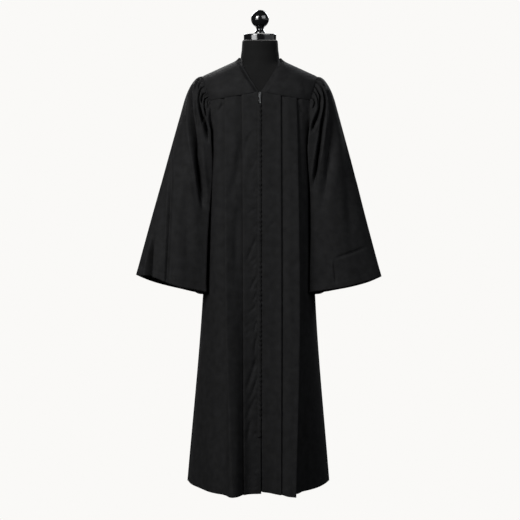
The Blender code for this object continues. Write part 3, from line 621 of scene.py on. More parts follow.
YOKE_CREASES = (
    Crease(0.0060, 1.3060, 0.0110, 1.2980, 0.0180, 1.2860, 0.0016, 0.0036),
    Crease(0.0200, 1.3060, 0.0230, 1.2960, 0.0270, 1.2850, -0.0012, 0.0042),
    Crease(0.0300, 1.3040, 0.0330, 1.2930, 0.0380, 1.2830, 0.0013, 0.0044),
    Crease(0.1330, 1.3140, 0.1400, 1.2980, 0.1440, 1.2700, 0.0016, 0.0070),
    Crease(0.1200, 1.2960, 0.1260, 1.2850, 0.1280, 1.2700, -0.0010, 0.0060),
    Crease(-0.1250, 1.3200, -0.1340, 1.3000, -0.1400, 1.2750, 0.0012, 0.0100),
    Crease(-0.0520, 1.3260, -0.0480, 1.3100, -0.0470, 1.2960, 0.0009, 0.0090),
    Crease(0.0800, 1.3420, 0.0860, 1.3200, 0.0840, 1.2950, 0.0009, 0.0110),
)


def shoulder_line(share):
    """From the neck point (0) to the shoulder tip (1), curving up towards the neck."""
    share = np.asarray(share, float)[..., None]
    rise = NECK_RISE * np.maximum(0.0, 1.0 - share / NECK_RISE_SHARE) ** 2
    line = np.array(NECK_POINT) * (1 - share) + np.array(SHOULDER_TIP) * share
    return line + rise * np.array((0.0, 0.0, 1.0))


def yoke_depth(x, centre, side):
    """How far in front of or behind the shoulder line the foot of the yoke hangs."""
    return centre - (centre - side) * (np.abs(x) / YOKE_SIDE_X) ** YOKE_BOXINESS


def front_seam_z(x):
    return YOKE_CENTRE_Z + (YOKE_SIDE_Z - YOKE_CENTRE_Z) * np.abs(x) / YOKE_SIDE_X


def back_seam_z(x):
    return BACK_YOKE_CENTRE_Z + (YOKE_SIDE_Z - BACK_YOKE_CENTRE_Z) * (np.abs(x) / YOKE_SIDE_X) ** 2


def edge_distance(places, edge):
    """How far along the cloth each place of a grid is from one of its edges."""
    axis = 1 if edge in ("first_column", "last_column") else 0
    steps = np.linalg.norm(np.diff(places, axis=axis), axis=2)
    start = np.zeros_like(steps[:, :1] if axis else steps[:1])
    run = np.cumsum(np.concatenate((start, steps), axis=axis), axis=axis)
    if edge.startswith("last"):
        run = (run[:, -1:] if axis else run[-1:]) - run
    return run


def pressed_to_form(places, share):
    """Moves each place of a grid by its share of the way down on to the torso's cover."""
    moved = places.copy()
    for at in zip(*np.nonzero(share > 0.02)):
        nearest, _, _, gap = TORSO_SURFACE.find_nearest(Vector(places[at]))
        moved[at] += share[at] * max(0.0, 1.0 - NECK_EDGE_GAP / gap) * (np.array(nearest) - places[at])
    return moved


def add_front_yoke(name, side, stands_for):
    columns, rows = 60, 54
    across, down = np.meshgrid(np.linspace(0, 1, columns + 1), np.linspace(0, 1, rows + 1))
    turn = math.pi / 2 * down
    fall = 1.0 - np.cos(turn)
    top = shoulder_line(across)
    low_x = SEAM_GAP + (YOKE_SIDE_X - SEAM_GAP) * across
    low_z = front_seam_z(low_x) + SEAM_GAP / 2
    depth = yoke_depth(low_x, YOKE_DEPTH_CENTRE, YOKE_DEPTH_SIDE)
    x = side * (top[..., 0] + (low_x - top[..., 0]) * fall)
    y = -SEAM_GAP / 2 - (depth - SEAM_GAP / 2) * np.sin(turn)
    raised = RIGHT_SHOULDER_RISE * (1.0 - fall) if side < 0 else 0.0
    z = top[..., 2] + (low_z - top[..., 2]) * fall + raised
    places = np.stack((x, y, z), axis=2)
    neck = edge_distance(places, "first_column")
    seam = edge_distance(places, "last_row")
    armhole_seam = edge_distance(places, "last_column")
    inward = crease_depth(YOKE_CREASES, x, z)
    inward -= EDGE_ROLL_HEIGHT * hump(neck - 1.6 * EDGE_ROLL_WIDTH, EDGE_ROLL_WIDTH)
    inward += SEAM_GROOVE_DEPTH * (hump(seam, SEAM_GROOVE_WIDTH) + hump(armhole_seam, SEAM_GROOVE_WIDTH))
    outward = surface_normals(places)
    outward *= np.sign(-outward[..., 1:2] + 1e-9)
    places = pressed_to_form(places, ease(1.3 - neck / NECK_PRESSED_WIDTH) * ease(down / 0.08))
    piece = add_cloth(name, places - outward * inward[..., None], stands_for)
    return piece


def add_back_yoke():
    columns, rows = 130, 54
    across, down = np.meshgrid(np.linspace(-1, 1, columns + 1), np.linspace(0, 1, rows + 1))
    reach = np.abs(across)
    shoulder = shoulder_line(np.clip((reach - BACK_NECK_SHARE) / (1 - BACK_NECK_SHARE), 0, 1))
    round_neck = np.clip(reach / BACK_NECK_SHARE, 0, 1) * math.pi / 2
    behind = reach < BACK_NECK_SHARE
    top_x = np.where(behind, NECK_POINT.x * np.sin(round_neck), shoulder[..., 0])
    top_y = np.where(behind, BACK_NECK_Y * np.cos(round_neck), 0.0)
    neck_z = NECK_POINT.z + NECK_RISE - BACK_NECK_DROP * np.cos(round_neck)
    top_z = np.where(behind, neck_z, shoulder[..., 2])
    start = np.where(behind, 0.80 * np.cos(round_neck), 0.0)
    turn = start + (math.pi / 2 - start) * down
    fall = (np.cos(start) - np.cos(turn)) / np.cos(start)
    forth = (np.sin(turn) - np.sin(start)) / (1.0 - np.sin(start))
    low_x = YOKE_SIDE_X * reach
    low_y = yoke_depth(low_x, BACK_DEPTH_CENTRE, BACK_DEPTH_SIDE)
    low_z = back_seam_z(low_x) + SEAM_GAP / 2
    x = np.copysign(top_x + (low_x - top_x) * fall, across)
    y = np.maximum(top_y + (low_y - top_y) * forth, SEAM_GAP / 2)
    z = top_z + (low_z - top_z) * fall + RIGHT_SHOULDER_RISE * (1.0 - fall) * ease(-across / 0.3)
    places = np.stack((x, y, z), axis=2)
    neck = edge_distance(places, "first_row")
    seam = edge_distance(places, "last_row")
    inward = -EDGE_ROLL_HEIGHT * hump(neck - 1.6 * EDGE_ROLL_WIDTH, EDGE_ROLL_WIDTH) * behind
    inward += SEAM_GROOVE_DEPTH * hump(seam, SEAM_GROOVE_WIDTH)
    ripple = BACK_YOKE_RIPPLE * np.sin(23.0 * across + 4.0 * down)
    inward += ripple * ease(down / 0.5) * ease((1 - down) / 0.3)
    outward = surface_normals(places)
    outward *= np.sign(outward[..., 1:2] + outward[..., 2:3])
    piece = add_cloth("yoke_back_cloth", places - outward * inward[..., None], "yoke_back")


add_front_yoke("yoke_front_left_cloth", 1, "yoke_front_left")
add_front_yoke("yoke_front_right_cloth", -1, "yoke_front_right")
add_back_yoke()


# ---------------------------------------------------------------------------------------------
# Fronts: two long panels that hang from the yoke seam, each laid in two knife pleats turned
# outwards. The pressed pleats hold a hard edge all the way down; the outer one falls open.

UNDERARM_Z, UNDERARM_X, MID_Z, HEM_Z = 1.0900, 0.1600, 0.5900, 0.0100
LAYER_PITCH = 0.0026
LAYER_SPREAD = 0.4
ARMHOLE_INSET = 0.0015
SEAM_ALLOWANCE = 0.0030
SEAM_SINK = 0.0014
UNDER_DEPTH_FRONT, UNDER_DEPTH_BACK = 0.0800, 0.0860
ARMHOLE_BELLY_FRONT, ARMHOLE_BELLY_BACK = 0.010, 0.027
FRONT_ROWS, FRONT_COLUMN_WIDTH = 270, 0.0040
PANEL_WAVE = 0.0012

# A line down a front panel: the layer it lies in, its places at the yoke, the underarm, half way
# down and the hem, and how much lower the hem is there
PanelLine = namedtuple(
    "PanelLine", "name layer x_top x_arm y_arm x_mid y_mid x_hem y_hem drop", defaults=(0.0,)
)
LEFT_FRONT_LINES = (
    PanelLine("zip_edge", 0, 0.0040, 0.0040, -0.1265, 0.0040, -0.1540, 0.0066, -0.1865),
    PanelLine("centre_face", 0, 0.0280, 0.0290, -0.1262, 0.0300, -0.1545, 0.0300, -0.1880),
    PanelLine("pleat_1_root", 0, 0.0480, 0.0490, -0.1255, 0.0500, -0.1555, 0.0490, -0.1950),
    PanelLine("pleat_1_edge", 0, 0.0654, 0.0665, -0.1250, 0.0680, -0.1580, 0.0670, -0.2120, -0.0017),
    PanelLine("between", 0, 0.0860, 0.0900, -0.1230, 0.0940, -0.1585, 0.0900, -0.2180, 0.0022),
    PanelLine("pleat_2_root", 0, 0.0980, 0.1030, -0.1215, 0.1080, -0.1585, 0.1030, -0.2195, 0.0035),
    PanelLine("pleat_2_edge", 0, 0.1154, 0.1200, -0.1195, 0.1264, -0.1585, 0.1146, -0.2205, 0.0038),
    PanelLine("pleat_2_turn", 1, 0.1154, 0.1195, -0.1160, 0.1250, -0.1535, 0.1110, -0.2130),
    PanelLine("pleat_2_inner", 1, 0.0980, 0.1040, -0.1165, 0.1080, -0.1505, 0.1060, -0.2000),
    PanelLine("pleat_2_inner_turn", 2, 0.0980, 0.1045, -0.1130, 0.1100, -0.1470, 0.1110, -0.1930),
    PanelLine("side_start", 2, 0.1190, 0.1200, -0.1085, 0.1250, -0.1420, 0.1210, -0.1860),
    PanelLine("side_1", 0, 0.1300, 0.1350, -0.1010, 0.1390, -0.1260, 0.1350, -0.1580),
    PanelLine("side_2", 0, 0.1420, 0.1480, -0.0850, 0.1530, -0.1020, 0.1606, -0.1303),
    PanelLine("side_3", 0, 0.1520, 0.1560, -0.0570, 0.1675, -0.0680, 0.1880, -0.0930),
    PanelLine("side_4", 0, 0.1560, 0.1590, -0.0290, 0.1760, -0.0340, 0.2120, -0.0430),
    PanelLine("side_seam", 0, 0.1590, 0.1600, -0.0006, 0.1802, -0.0006, 0.2268, -0.0006),
)
RIGHT_FRONT_LINES = (
    PanelLine("zip_edge", 0, 0.0040, 0.0040, -0.1265, 0.0040, -0.1540, 0.0030, -0.1865),
    PanelLine("centre_face", 0, 0.0230, 0.0220, -0.1262, 0.0220, -0.1548, 0.0220, -0.1895),
    PanelLine("pleat_1_root", 0, 0.0400, 0.0390, -0.1258, 0.0370, -0.1560, 0.0370, -0.1935),
    PanelLine("pleat_1_edge", 0, 0.0575, 0.0550, -0.1255, 0.0525, -0.1575, 0.0510, -0.2040),
    PanelLine("between", 0, 0.0800, 0.0780, -0.1240, 0.0740, -0.1630, 0.0690, -0.2290),
    PanelLine("pleat_2_root", 0, 0.0930, 0.0930, -0.1235, 0.0910, -0.1710, 0.0780, -0.2380),
    PanelLine("pleat_2_edge", 0, 0.1110, 0.1110, -0.1225, 0.1080, -0.1760, 0.0880, -0.2415),
    PanelLine("pleat_2_turn", 1, 0.1110, 0.1105, -0.1190, 0.1065, -0.1680, 0.0960, -0.2360),
    PanelLine("pleat_2_inner", 1, 0.0930, 0.0950, -0.1175, 0.0970, -0.1540, 0.1060, -0.2140),
    PanelLine("pleat_2_inner_turn", 2, 0.0930, 0.0955, -0.1140, 0.1000, -0.1470, 0.1130, -0.2030),
    PanelLine("side_start", 2, 0.1140, 0.1150, -0.1095, 0.1220, -0.1400, 0.1210, -0.1945),
    PanelLine("side_1", 0, 0.1270, 0.1320, -0.1030, 0.1390, -0.1290, 0.1400, -0.1815),
    PanelLine("side_2", 0, 0.1400, 0.1470, -0.0860, 0.1560, -0.1040, 0.1640, -0.1580),
    PanelLine("side_3", 0, 0.1510, 0.1560, -0.0570, 0.1710, -0.0700, 0.1935, -0.1080),
    PanelLine("side_4", 0, 0.1560, 0.1590, -0.0290, 0.1818, -0.0350, 0.2218, -0.0540),
    PanelLine("side_seam", 0, 0.1590, 0.1600, -0.0006, 0.1868, -0.0006, 0.2376, -0.0006),
)
ARMHOLE_SHARES = {"side_2": 0.03, "side_3": 0.30, "side_4": 0.65, "side_seam": 1.0}

# Drag creases that run up to the zip's stitching, and the larger soft folds of the panels
RIGHT_FRONT_CREASES = (
    Crease(-0.0185, 1.1640, -0.0400, 1.1290, -0.0580, 1.0300, 0.0030, 0.0050),
    Crease(-0.0110, 1.0700, -0.0250, 1.0450, -0.0410, 1.0190, 0.0010, 0.0040),
    Crease(-0.0100, 1.0300, -0.0200, 1.0100, -0.0330, 0.9900, 0.0008, 0.0035),
    Crease(-0.0120, 0.9910, -0.0160, 0.9780, -0.0190, 0.9560, 0.0012, 0.0030),
    Crease(-0.0090, 0.9200, -0.0284, 0.9080, -0.0430, 0.8920, 0.0020, 0.0036),
    Crease(-0.0100, 0.8700, -0.0210, 0.8560, -0.0330, 0.8430, 0.0009, 0.0036),
    Crease(-0.0085, 0.8300, -0.0284, 0.7860, -0.0460, 0.7400, 0.0034, 0.0042),
    Crease(-0.0085, 0.7640, -0.0250, 0.7510, -0.0400, 0.7400, 0.0020, 0.0034),
    Crease(-0.0090, 0.7480, -0.0170, 0.7390, -0.0250, 0.7270, 0.0018, 0.0030),
    Crease(-0.0085, 0.7110, -0.0237, 0.6760, -0.0370, 0.6520, 0.0028, 0.0036),
    Crease(-0.0085, 0.6520, -0.0174, 0.6340, -0.0270, 0.6170, 0.0024, 0.0034),
    Crease(-0.0085, 0.6200, -0.0231, 0.5983, -0.0460, 0.5830, 0.0026, 0.0036),
    Crease(-0.0085, 0.5750, -0.0158, 0.5678, -0.0240, 0.5590, 0.0016, 0.0028),
    Crease(-0.0085, 0.5630, -0.0160, 0.5400, -0.0190, 0.5180, 0.0026, 0.0034),
    Crease(-0.0280, 0.5600, -0.0396, 0.5488, -0.0510, 0.5370, 0.0014, 0.0034),
    Crease(-0.0085, 0.5160, -0.0146, 0.4916, -0.0170, 0.4420, 0.0034, 0.0044),
    Crease(-0.0320, 0.5320, -0.0412, 0.5218, -0.0490, 0.5080, 0.0014, 0.0034),
    Crease(-0.0100, 0.4560, -0.0240, 0.4000, -0.0470, 0.3330, 0.0046, 0.0058),
    Crease(-0.0080, 0.3900, -0.0232, 0.3366, -0.0420, 0.2980, 0.0036, 0.0046),
    Crease(-0.0085, 0.3280, -0.0305, 0.2846, -0.0460, 0.2350, 0.0030, 0.0052),
    Crease(-0.0090, 0.2110, -0.0175, 0.2000, -0.0250, 0.1890, 0.0018, 0.0034),
    Crease(-0.0280, 0.2520, -0.0365, 0.2112, -0.0450, 0.1650, 0.0030, 0.0052),
    Crease(-0.1175, 1.2490, -0.1240, 1.2330, -0.1370, 1.2150, 0.0034, 0.0042),
    Crease(-0.1340, 1.2440, -0.1400, 1.2320, -0.1480, 1.2200, -0.0016, 0.0050),
    Crease(-0.0560, 1.1500, -0.0700, 1.0500, -0.0980, 0.9300, 0.0055, 0.0130),
    Crease(-0.0700, 0.9400, -0.0760, 0.8200, -0.0740, 0.6600, 0.0045, 0.0120),
)
LEFT_FRONT_CREASES = (
    Crease(0.0490, 0.8850, 0.0300, 0.8600, 0.0110, 0.8555, 0.0015, 0.0036),
    Crease(0.0350, 0.8500, 0.0230, 0.8390, 0.0110, 0.8350, 0.0010, 0.0030),
    Crease(0.0170, 0.6720, 0.0313, 0.6458, 0.0250, 0.6150, 0.0018, 0.0042),
    Crease(0.0150, 0.4820, 0.0253, 0.4694, 0.0340, 0.4580, 0.0010, 0.0034),
    Crease(0.0120, 0.4240, 0.0270, 0.3898, 0.0420, 0.3480, 0.0014, 0.0050),
    Crease(0.0110, 0.2900, 0.0220, 0.2860, 0.0300, 0.2780, 0.0010, 0.0034),
    Crease(0.0130, 0.3300, 0.0180, 0.3000, 0.0190, 0.2600, -0.0010, 0.0050),
    Crease(0.1240, 1.2440, 0.1290, 1.2300, 0.1370, 1.2120, 0.0034, 0.0056),
    Crease(0.1400, 1.2380, 0.1440, 1.2260, 0.1480, 1.2140, -0.0016, 0.0056),
    Crease(0.0860, 1.1500, 0.0900, 1.0500, 0.0880, 0.9400, 0.0008, 0.0120),
)
ZIP_PUCKER_REACH = 0.0150
# Below the zip the right front's centre edge comes this much closer to the left front's, so that
# only a thin slit is left between them
SLIT_TOP_Z, SLIT_EASE, SLIT_CLOSING = 0.2240, 0.040, 0.0070
# At the side seams the fronts' edges lie this far inside the back's
SIDE_TUCK_IN, SIDE_TUCK_BACK = 0.0010, 0.0040


def armhole(angle):
    """The ring where yoke and panels end, on the wearer's left; 0 is the shoulder tip. Its upper
    part is the edge of the yoke."""
    turn = np.radians(angle)
    front = np.asarray(angle) <= 180
    z = (SHOULDER_TIP.z + UNDERARM_Z) / 2 + (SHOULDER_TIP.z - UNDERARM_Z) / 2 * np.cos(turn)
    above = np.clip((z - YOKE_SIDE_Z) / (SHOULDER_TIP.z - YOKE_SIDE_Z), 0.0, 1.0)
    below = ease((z - UNDERARM_Z) / (YOKE_SIDE_Z - UNDERARM_Z))
    x = UNDERARM_X + (YOKE_SIDE_X - UNDERARM_X) * below + (SHOULDER_TIP.x - YOKE_SIDE_X) * above
    yoke_y = np.where(front, YOKE_DEPTH_SIDE, BACK_DEPTH_SIDE) * np.sqrt(1.0 - above**2)
    under_y = np.where(front, UNDER_DEPTH_FRONT, UNDER_DEPTH_BACK) * np.abs(np.sin(turn))
    under_y = under_y * (1.0 + np.where(front, ARMHOLE_BELLY_FRONT, ARMHOLE_BELLY_BACK) * below)
    y = np.where(above > 0.0, yoke_y, under_y)
    return np.stack((x, np.where(front, -y, y), z), axis=-1)


def armhole_at(z, face):
    """The armhole ring at given heights, on its front (-1) or back (1) half."""
    middle, half = (SHOULDER_TIP.z + UNDERARM_Z) / 2, (SHOULDER_TIP.z - UNDERARM_Z) / 2
    turn = np.degrees(np.arccos(np.clip((z - middle) / half, -1.0, 1.0)))
    return armhole(turn if face < 0 else 360.0 - turn)


def line_at(line, z, top_z, low_z):
    """The x and y of a panel line at given heights."""
    top_y = -yoke_depth(line.x_top, YOKE_DEPTH_CENTRE, YOKE_DEPTH_SIDE) + line.layer * LAYER_PITCH
    keys = (-top_z, -UNDERARM_Z, -MID_Z, -low_z)
    x = curve_through(keys, (line.x_top, line.x_arm, line.x_mid, line.x_hem), -z)
    y = curve_through(keys, (top_y, line.y_arm, line.y_mid, line.y_hem), -z)
    return x, y


def pleated_lines(lines):
    """The table's lines with the pressed pleat's two hidden layers put in after its edge."""
    root = next(line for line in lines if line.name == "pleat_1_root")
    path = []
    for line in lines:
        path.append((line, 0))
        if line.name == "pleat_1_edge":
            path += [(line, 1), (root, 1), (root, 2), (line, 2)]
    return path


def curved_across(net, counts):
    """Fills in a rows x lines net of places so that each row is one smooth curve; counts has the
    number of steps in each gap between lines."""
    gaps = np.linalg.norm(np.diff(net, axis=1), axis=2, keepdims=True) ** 0.5
    moves = np.diff(net, axis=1)
    tangents = np.empty_like(net)
    tangents[:, 0], tangents[:, -1] = moves[:, 0] / gaps[:, 0], moves[:, -1] / gaps[:, -1]
    before, after = gaps[:, :-1], gaps[:, 1:]
    tangents[:, 1:-1] = (moves[:, 1:] / after * before + moves[:, :-1] / before * after) / (before + after)
    columns = []
    for gap, count in enumerate(counts):
        for step in range(count + (gap == len(counts) - 1)):
            t = step / count
            columns.append(
                net[:, gap] * (2 * t**3 - 3 * t**2 + 1)
                + tangents[:, gap] * gaps[:, gap] * (t**3 - 2 * t**2 + t)
                + net[:, gap + 1] * (3 * t**2 - 2 * t**3)
                + tangents[:, gap + 1] * gaps[:, gap] * (t**3 - t**2)
            )
    return np.stack(columns, axis=1)


def zip_puckers(x, z, strength):
    """Small uneven ripples that the zip's stitching draws into the cloth beside it."""
    away = np.abs(x) - 0.0060
    ripple = np.sin(2 * math.pi * z / 0.0172 + 90.0 * away + 1.4 * np.sin(41.0 * z) + 0.9 * np.sin(97.0 * z))
    ripple *= 0.55 + 0.45 * np.sin(23.0 * z + 1.2 * np.sin(71.0 * z))
    return strength * ripple * ease(away / 0.003) * hump(away, ZIP_PUCKER_REACH * 0.6)


def front_places(side, lines, centre_lift, creases, pucker, closing=0.0):
    """The places of a front panel, rows from the yoke seam down and columns from the zip out."""
    path = pleated_lines(lines)
    down = np.linspace(0.0, 1.0, FRONT_ROWS + 1)
    net = np.empty((FRONT_ROWS + 1, len(path), 3))
    for place, (line, hidden) in enumerate(path):
        top_z = front_seam_z(line.x_top) + SEAM_ALLOWANCE
        low_z = HEM_Z - line.drop + centre_lift * ease(1.0 - line.x_hem / 0.060)
        z = top_z + (low_z - top_z) * down
        x, y = line_at(line, z, top_z, low_z)
        x = x - closing * (line.name == "zip_edge") * ease((SLIT_TOP_Z - z) / SLIT_EASE)
        y = y + hidden * LAYER_PITCH * (1.0 + LAYER_SPREAD * down)
        share = ARMHOLE_SHARES.get(line.name, 0.0)
        if share:
            ring = armhole_at(z, -1)
            seam_x, seam_y = line_at(lines[-1], z, top_z, low_z)
            above = z > UNDERARM_Z
            x = x + share * above * (ring[:, 0] - ARMHOLE_INSET - seam_x)
            y = y + share * above * (np.minimum(ring[:, 1], -SEAM_GAP) - seam_y)
        if line.name == "side_seam":
            tucked = ease((UNDERARM_Z - z) / 0.020)
            x, y = x - SIDE_TUCK_IN * tucked, y + SIDE_TUCK_BACK * tucked
        net[:, place] = np.stack((x, y, z), axis=1)
    lengths = np.linalg.norm(np.diff(net, axis=1), axis=2).max(axis=0)
    places = curved_across(net, [max(2, round(length / FRONT_COLUMN_WIDTH)) for length in lengths])
    x, z = side * places[..., 0], places[..., 2]
    inward = crease_depth(creases, x, z) + zip_puckers(x, z, pucker)
    inward += SEAM_SINK * ease(1.0 - edge_distance(places, "first_row") / (2 * SEAM_ALLOWANCE))
    soft = ease((0.9 - z) / 0.5) * ease((np.abs(x) - 0.02) / 0.05)
    soft = soft * ease(edge_distance(places, "last_column") / 0.05)
    inward += PANEL_WAVE * np.sin(z * 9.0 + 60.0 * x) * soft
    return np.stack((x, places[..., 1] + inward, z), axis=2)


LEFT_FRONT = front_places(1, LEFT_FRONT_LINES, 0.006, LEFT_FRONT_CREASES, 0.0007)
RIGHT_FRONT = front_places(-1, RIGHT_FRONT_LINES, 0.0, RIGHT_FRONT_CREASES, 0.0013, SLIT_CLOSING)
for name, places, stands_for in (
    ("front_left_cloth", LEFT_FRONT, "front_left"),
    ("front_right_cloth", RIGHT_FRONT, "front_right"),
):
    front = add_cloth(name, places, stands_for)


# ---------------------------------------------------------------------------------------------
# Back: one wide panel gathered on to the back yoke. The gathers open into soft flutes that are
# deepest at the hem, no two of them quite alike.

BACK_COLUMNS, BACK_ROWS = 220, 160
BACK_FOLDS = 11
BACK_DEPTH, BACK_DEPTH_GROWTH = 0.1180, 0.0770
FLUTE_DEPTH, FLUTE_DEPTH_GROWTH = 0.0010, 0.0150
BACK_GATHER_DEPTH, BACK_WAVE = 0.0016, 0.0012


def back_places():
    """The places of the back panel, rows from the yoke seam down and columns across."""
    across, down = np.meshgrid(np.linspace(-1, 1, BACK_COLUMNS + 1), np.linspace(0, 1, BACK_ROWS + 1))
    reach = np.abs(across)
    top_x = YOKE_SIDE_X * reach
    top_z = back_seam_z(top_x) - SEAM_GAP / 2
    z = top_z + (HEM_Z - top_z) * down
    opened = (UNDERARM_Z - z) / (UNDERARM_Z - HEM_Z)
    low = np.minimum(z, UNDERARM_Z)
    left_x = line_at(LEFT_FRONT_LINES[-1], low, YOKE_SIDE_Z, HEM_Z)[0]
    right_x = line_at(RIGHT_FRONT_LINES[-1], low, YOKE_SIDE_Z, HEM_Z)[0]
    seam_x = np.where(across > 0, left_x, right_x)
    depth = BACK_DEPTH + BACK_DEPTH_GROWTH * ease(np.maximum(0.0, opened)) ** 0.8
    turn = across * math.pi / 2
    x = np.sin(turn) * seam_x
    y = np.abs(np.cos(turn)) ** 0.80 * depth
    above = z > UNDERARM_Z
    ring = armhole_at(z, 1)
    lift = (z - UNDERARM_Z) / (top_z - UNDERARM_Z)
    x = x + above * (np.copysign(ring[..., 0] - ARMHOLE_INSET - UNDERARM_X, across)) * reach**3
    y = y + above * ring[..., 1] * reach**5
    flat_y = yoke_depth(top_x, BACK_DEPTH_CENTRE, BACK_DEPTH_SIDE)
    x = x + above * (np.copysign(top_x, across) - x) * ease(lift)
    y = y + above * (flat_y - y) * ease(lift)
    outward = np.stack((0.1 * x, 1.6 * y, np.zeros_like(x)), axis=2)
    outward /= np.linalg.norm(outward, axis=2, keepdims=True)
    swell = FLUTE_DEPTH + FLUTE_DEPTH_GROWTH * np.maximum(0.0, opened + 0.12) ** 0.9
    swell *= 1.0 - 0.22 * np.sin(3.1 * across + 0.6)
    wave = np.cos(math.pi * BACK_FOLDS * (across + 1) + math.pi)
    fade = ease((1.0 - reach) / 0.22) * ease((UNDERARM_Z + 0.19 - z) / 0.10)
    moved = wave * swell * fade
    gathers = np.sin(4 * math.pi * BACK_FOLDS * across + 2.0 * np.sin(9.0 * across))
    below_seam = hump((z - top_z + 0.035) / 0.045, 1.0)
    moved += BACK_GATHER_DEPTH * gathers * below_seam * ease((1.0 - reach) / 0.12)
    moved += BACK_WAVE * np.sin(14.0 * z + 31.0 * across) * ease((top_z - z) / 0.15) * fade
    moved -= SEAM_GROOVE_DEPTH * hump(z - top_z, SEAM_GROOVE_WIDTH)
    x = x + outward[..., 0] * moved
    y = np.maximum(y + outward[..., 1] * moved, SEAM_GAP)
    return np.stack((x, y, z), axis=2)


BACK = back_places()
back = add_cloth("back_cloth", BACK, "back")


# ---------------------------------------------------------------------------------------------
# Sleeves: two bell sleeves, each one piece gathered into its armhole and closed by a seam under
# the arm. The gathers run on as deep hanging folds, and the wide cuffs hang flat and open.

# A line down the sleeve at an angle round it: how far its head stands out from the armhole, its
# place at the cuff, and how much higher the cuff's edge is there on each side
SleeveLine = namedtuple("SleeveLine", "angle out_x out_y out_z cuff_x cuff_y lift_left lift_right")
SLEEVE_LINES = (
    SleeveLine(0.0, 0.0395, 0.0000, 0.0000, 0.3950, -0.0450, 0.0045, 0.0095),
    SleeveLine(30.0, 0.0352, -0.0018, -0.0010, 0.3380, -0.0860, 0.0140, 0.0290),
    SleeveLine(60.0, 0.0262, -0.0110, -0.0060, 0.2540, -0.1070, 0.0172, 0.0214),
    SleeveLine(86.0, 0.0070, -0.0175, -0.0120, 0.1760, -0.1210, 0.0190, 0.0200),
    SleeveLine(95.0, 0.0020, -0.0150, -0.0120, 0.1700, -0.1180, 0.0170, 0.0180),
    SleeveLine(130.0, 0.0064, -0.0070, -0.0100, 0.1820, -0.0650, 0.0060, 0.0060),
    SleeveLine(180.0, 0.0110, 0.0000, -0.0080, 0.1990, -0.0060, -0.0030, -0.0030),
    SleeveLine(230.0, 0.0104, 0.0060, -0.0100, 0.2060, 0.0430, -0.0080, -0.0080),
    SleeveLine(265.0, 0.0132, 0.0150, -0.0120, 0.2180, 0.0680, -0.0100, -0.0100),
    SleeveLine(300.0, 0.0262, 0.0113, -0.0060, 0.2740, 0.0620, -0.0105, -0.0075),
    SleeveLine(330.0, 0.0352, 0.0014, -0.0010, 0.3420, 0.0220, -0.0062, -0.0012),
    SleeveLine(360.0, 0.0395, 0.0000, 0.0000, 0.3950, -0.0450, 0.0045, 0.0095),
)
HEAD_WIDTH_LEFT, HEAD_WIDTH_RIGHT = 0.950, 1.000
HEAD_SHARE = 0.14
HEAD_ROWS_SHARE = 1.0 / 3.0
CUFF_INNER_X, CUFF_OUTER_X = 0.1880, 0.3940
CUFF_INNER_Z, CUFF_RISE, CUFF_CORNER_RISE = 0.6300, 0.0400, 0.0150
CUFF_SCALE_LEFT, CUFF_SCALE_RIGHT = 0.9900, 1.0080
CUFF_FLUTE, CUFF_FLUTES = 0.0040, 9
CUFF_HEM, CUFF_HEM_EDGE = 0.0220, 0.0012
CUFF_HEM_STEP, CUFF_HEM_DENT = 0.0005, 0.0009
SMALL_GATHER_DEPTH, SLEEVE_WAVE = 0.0010, 0.0011

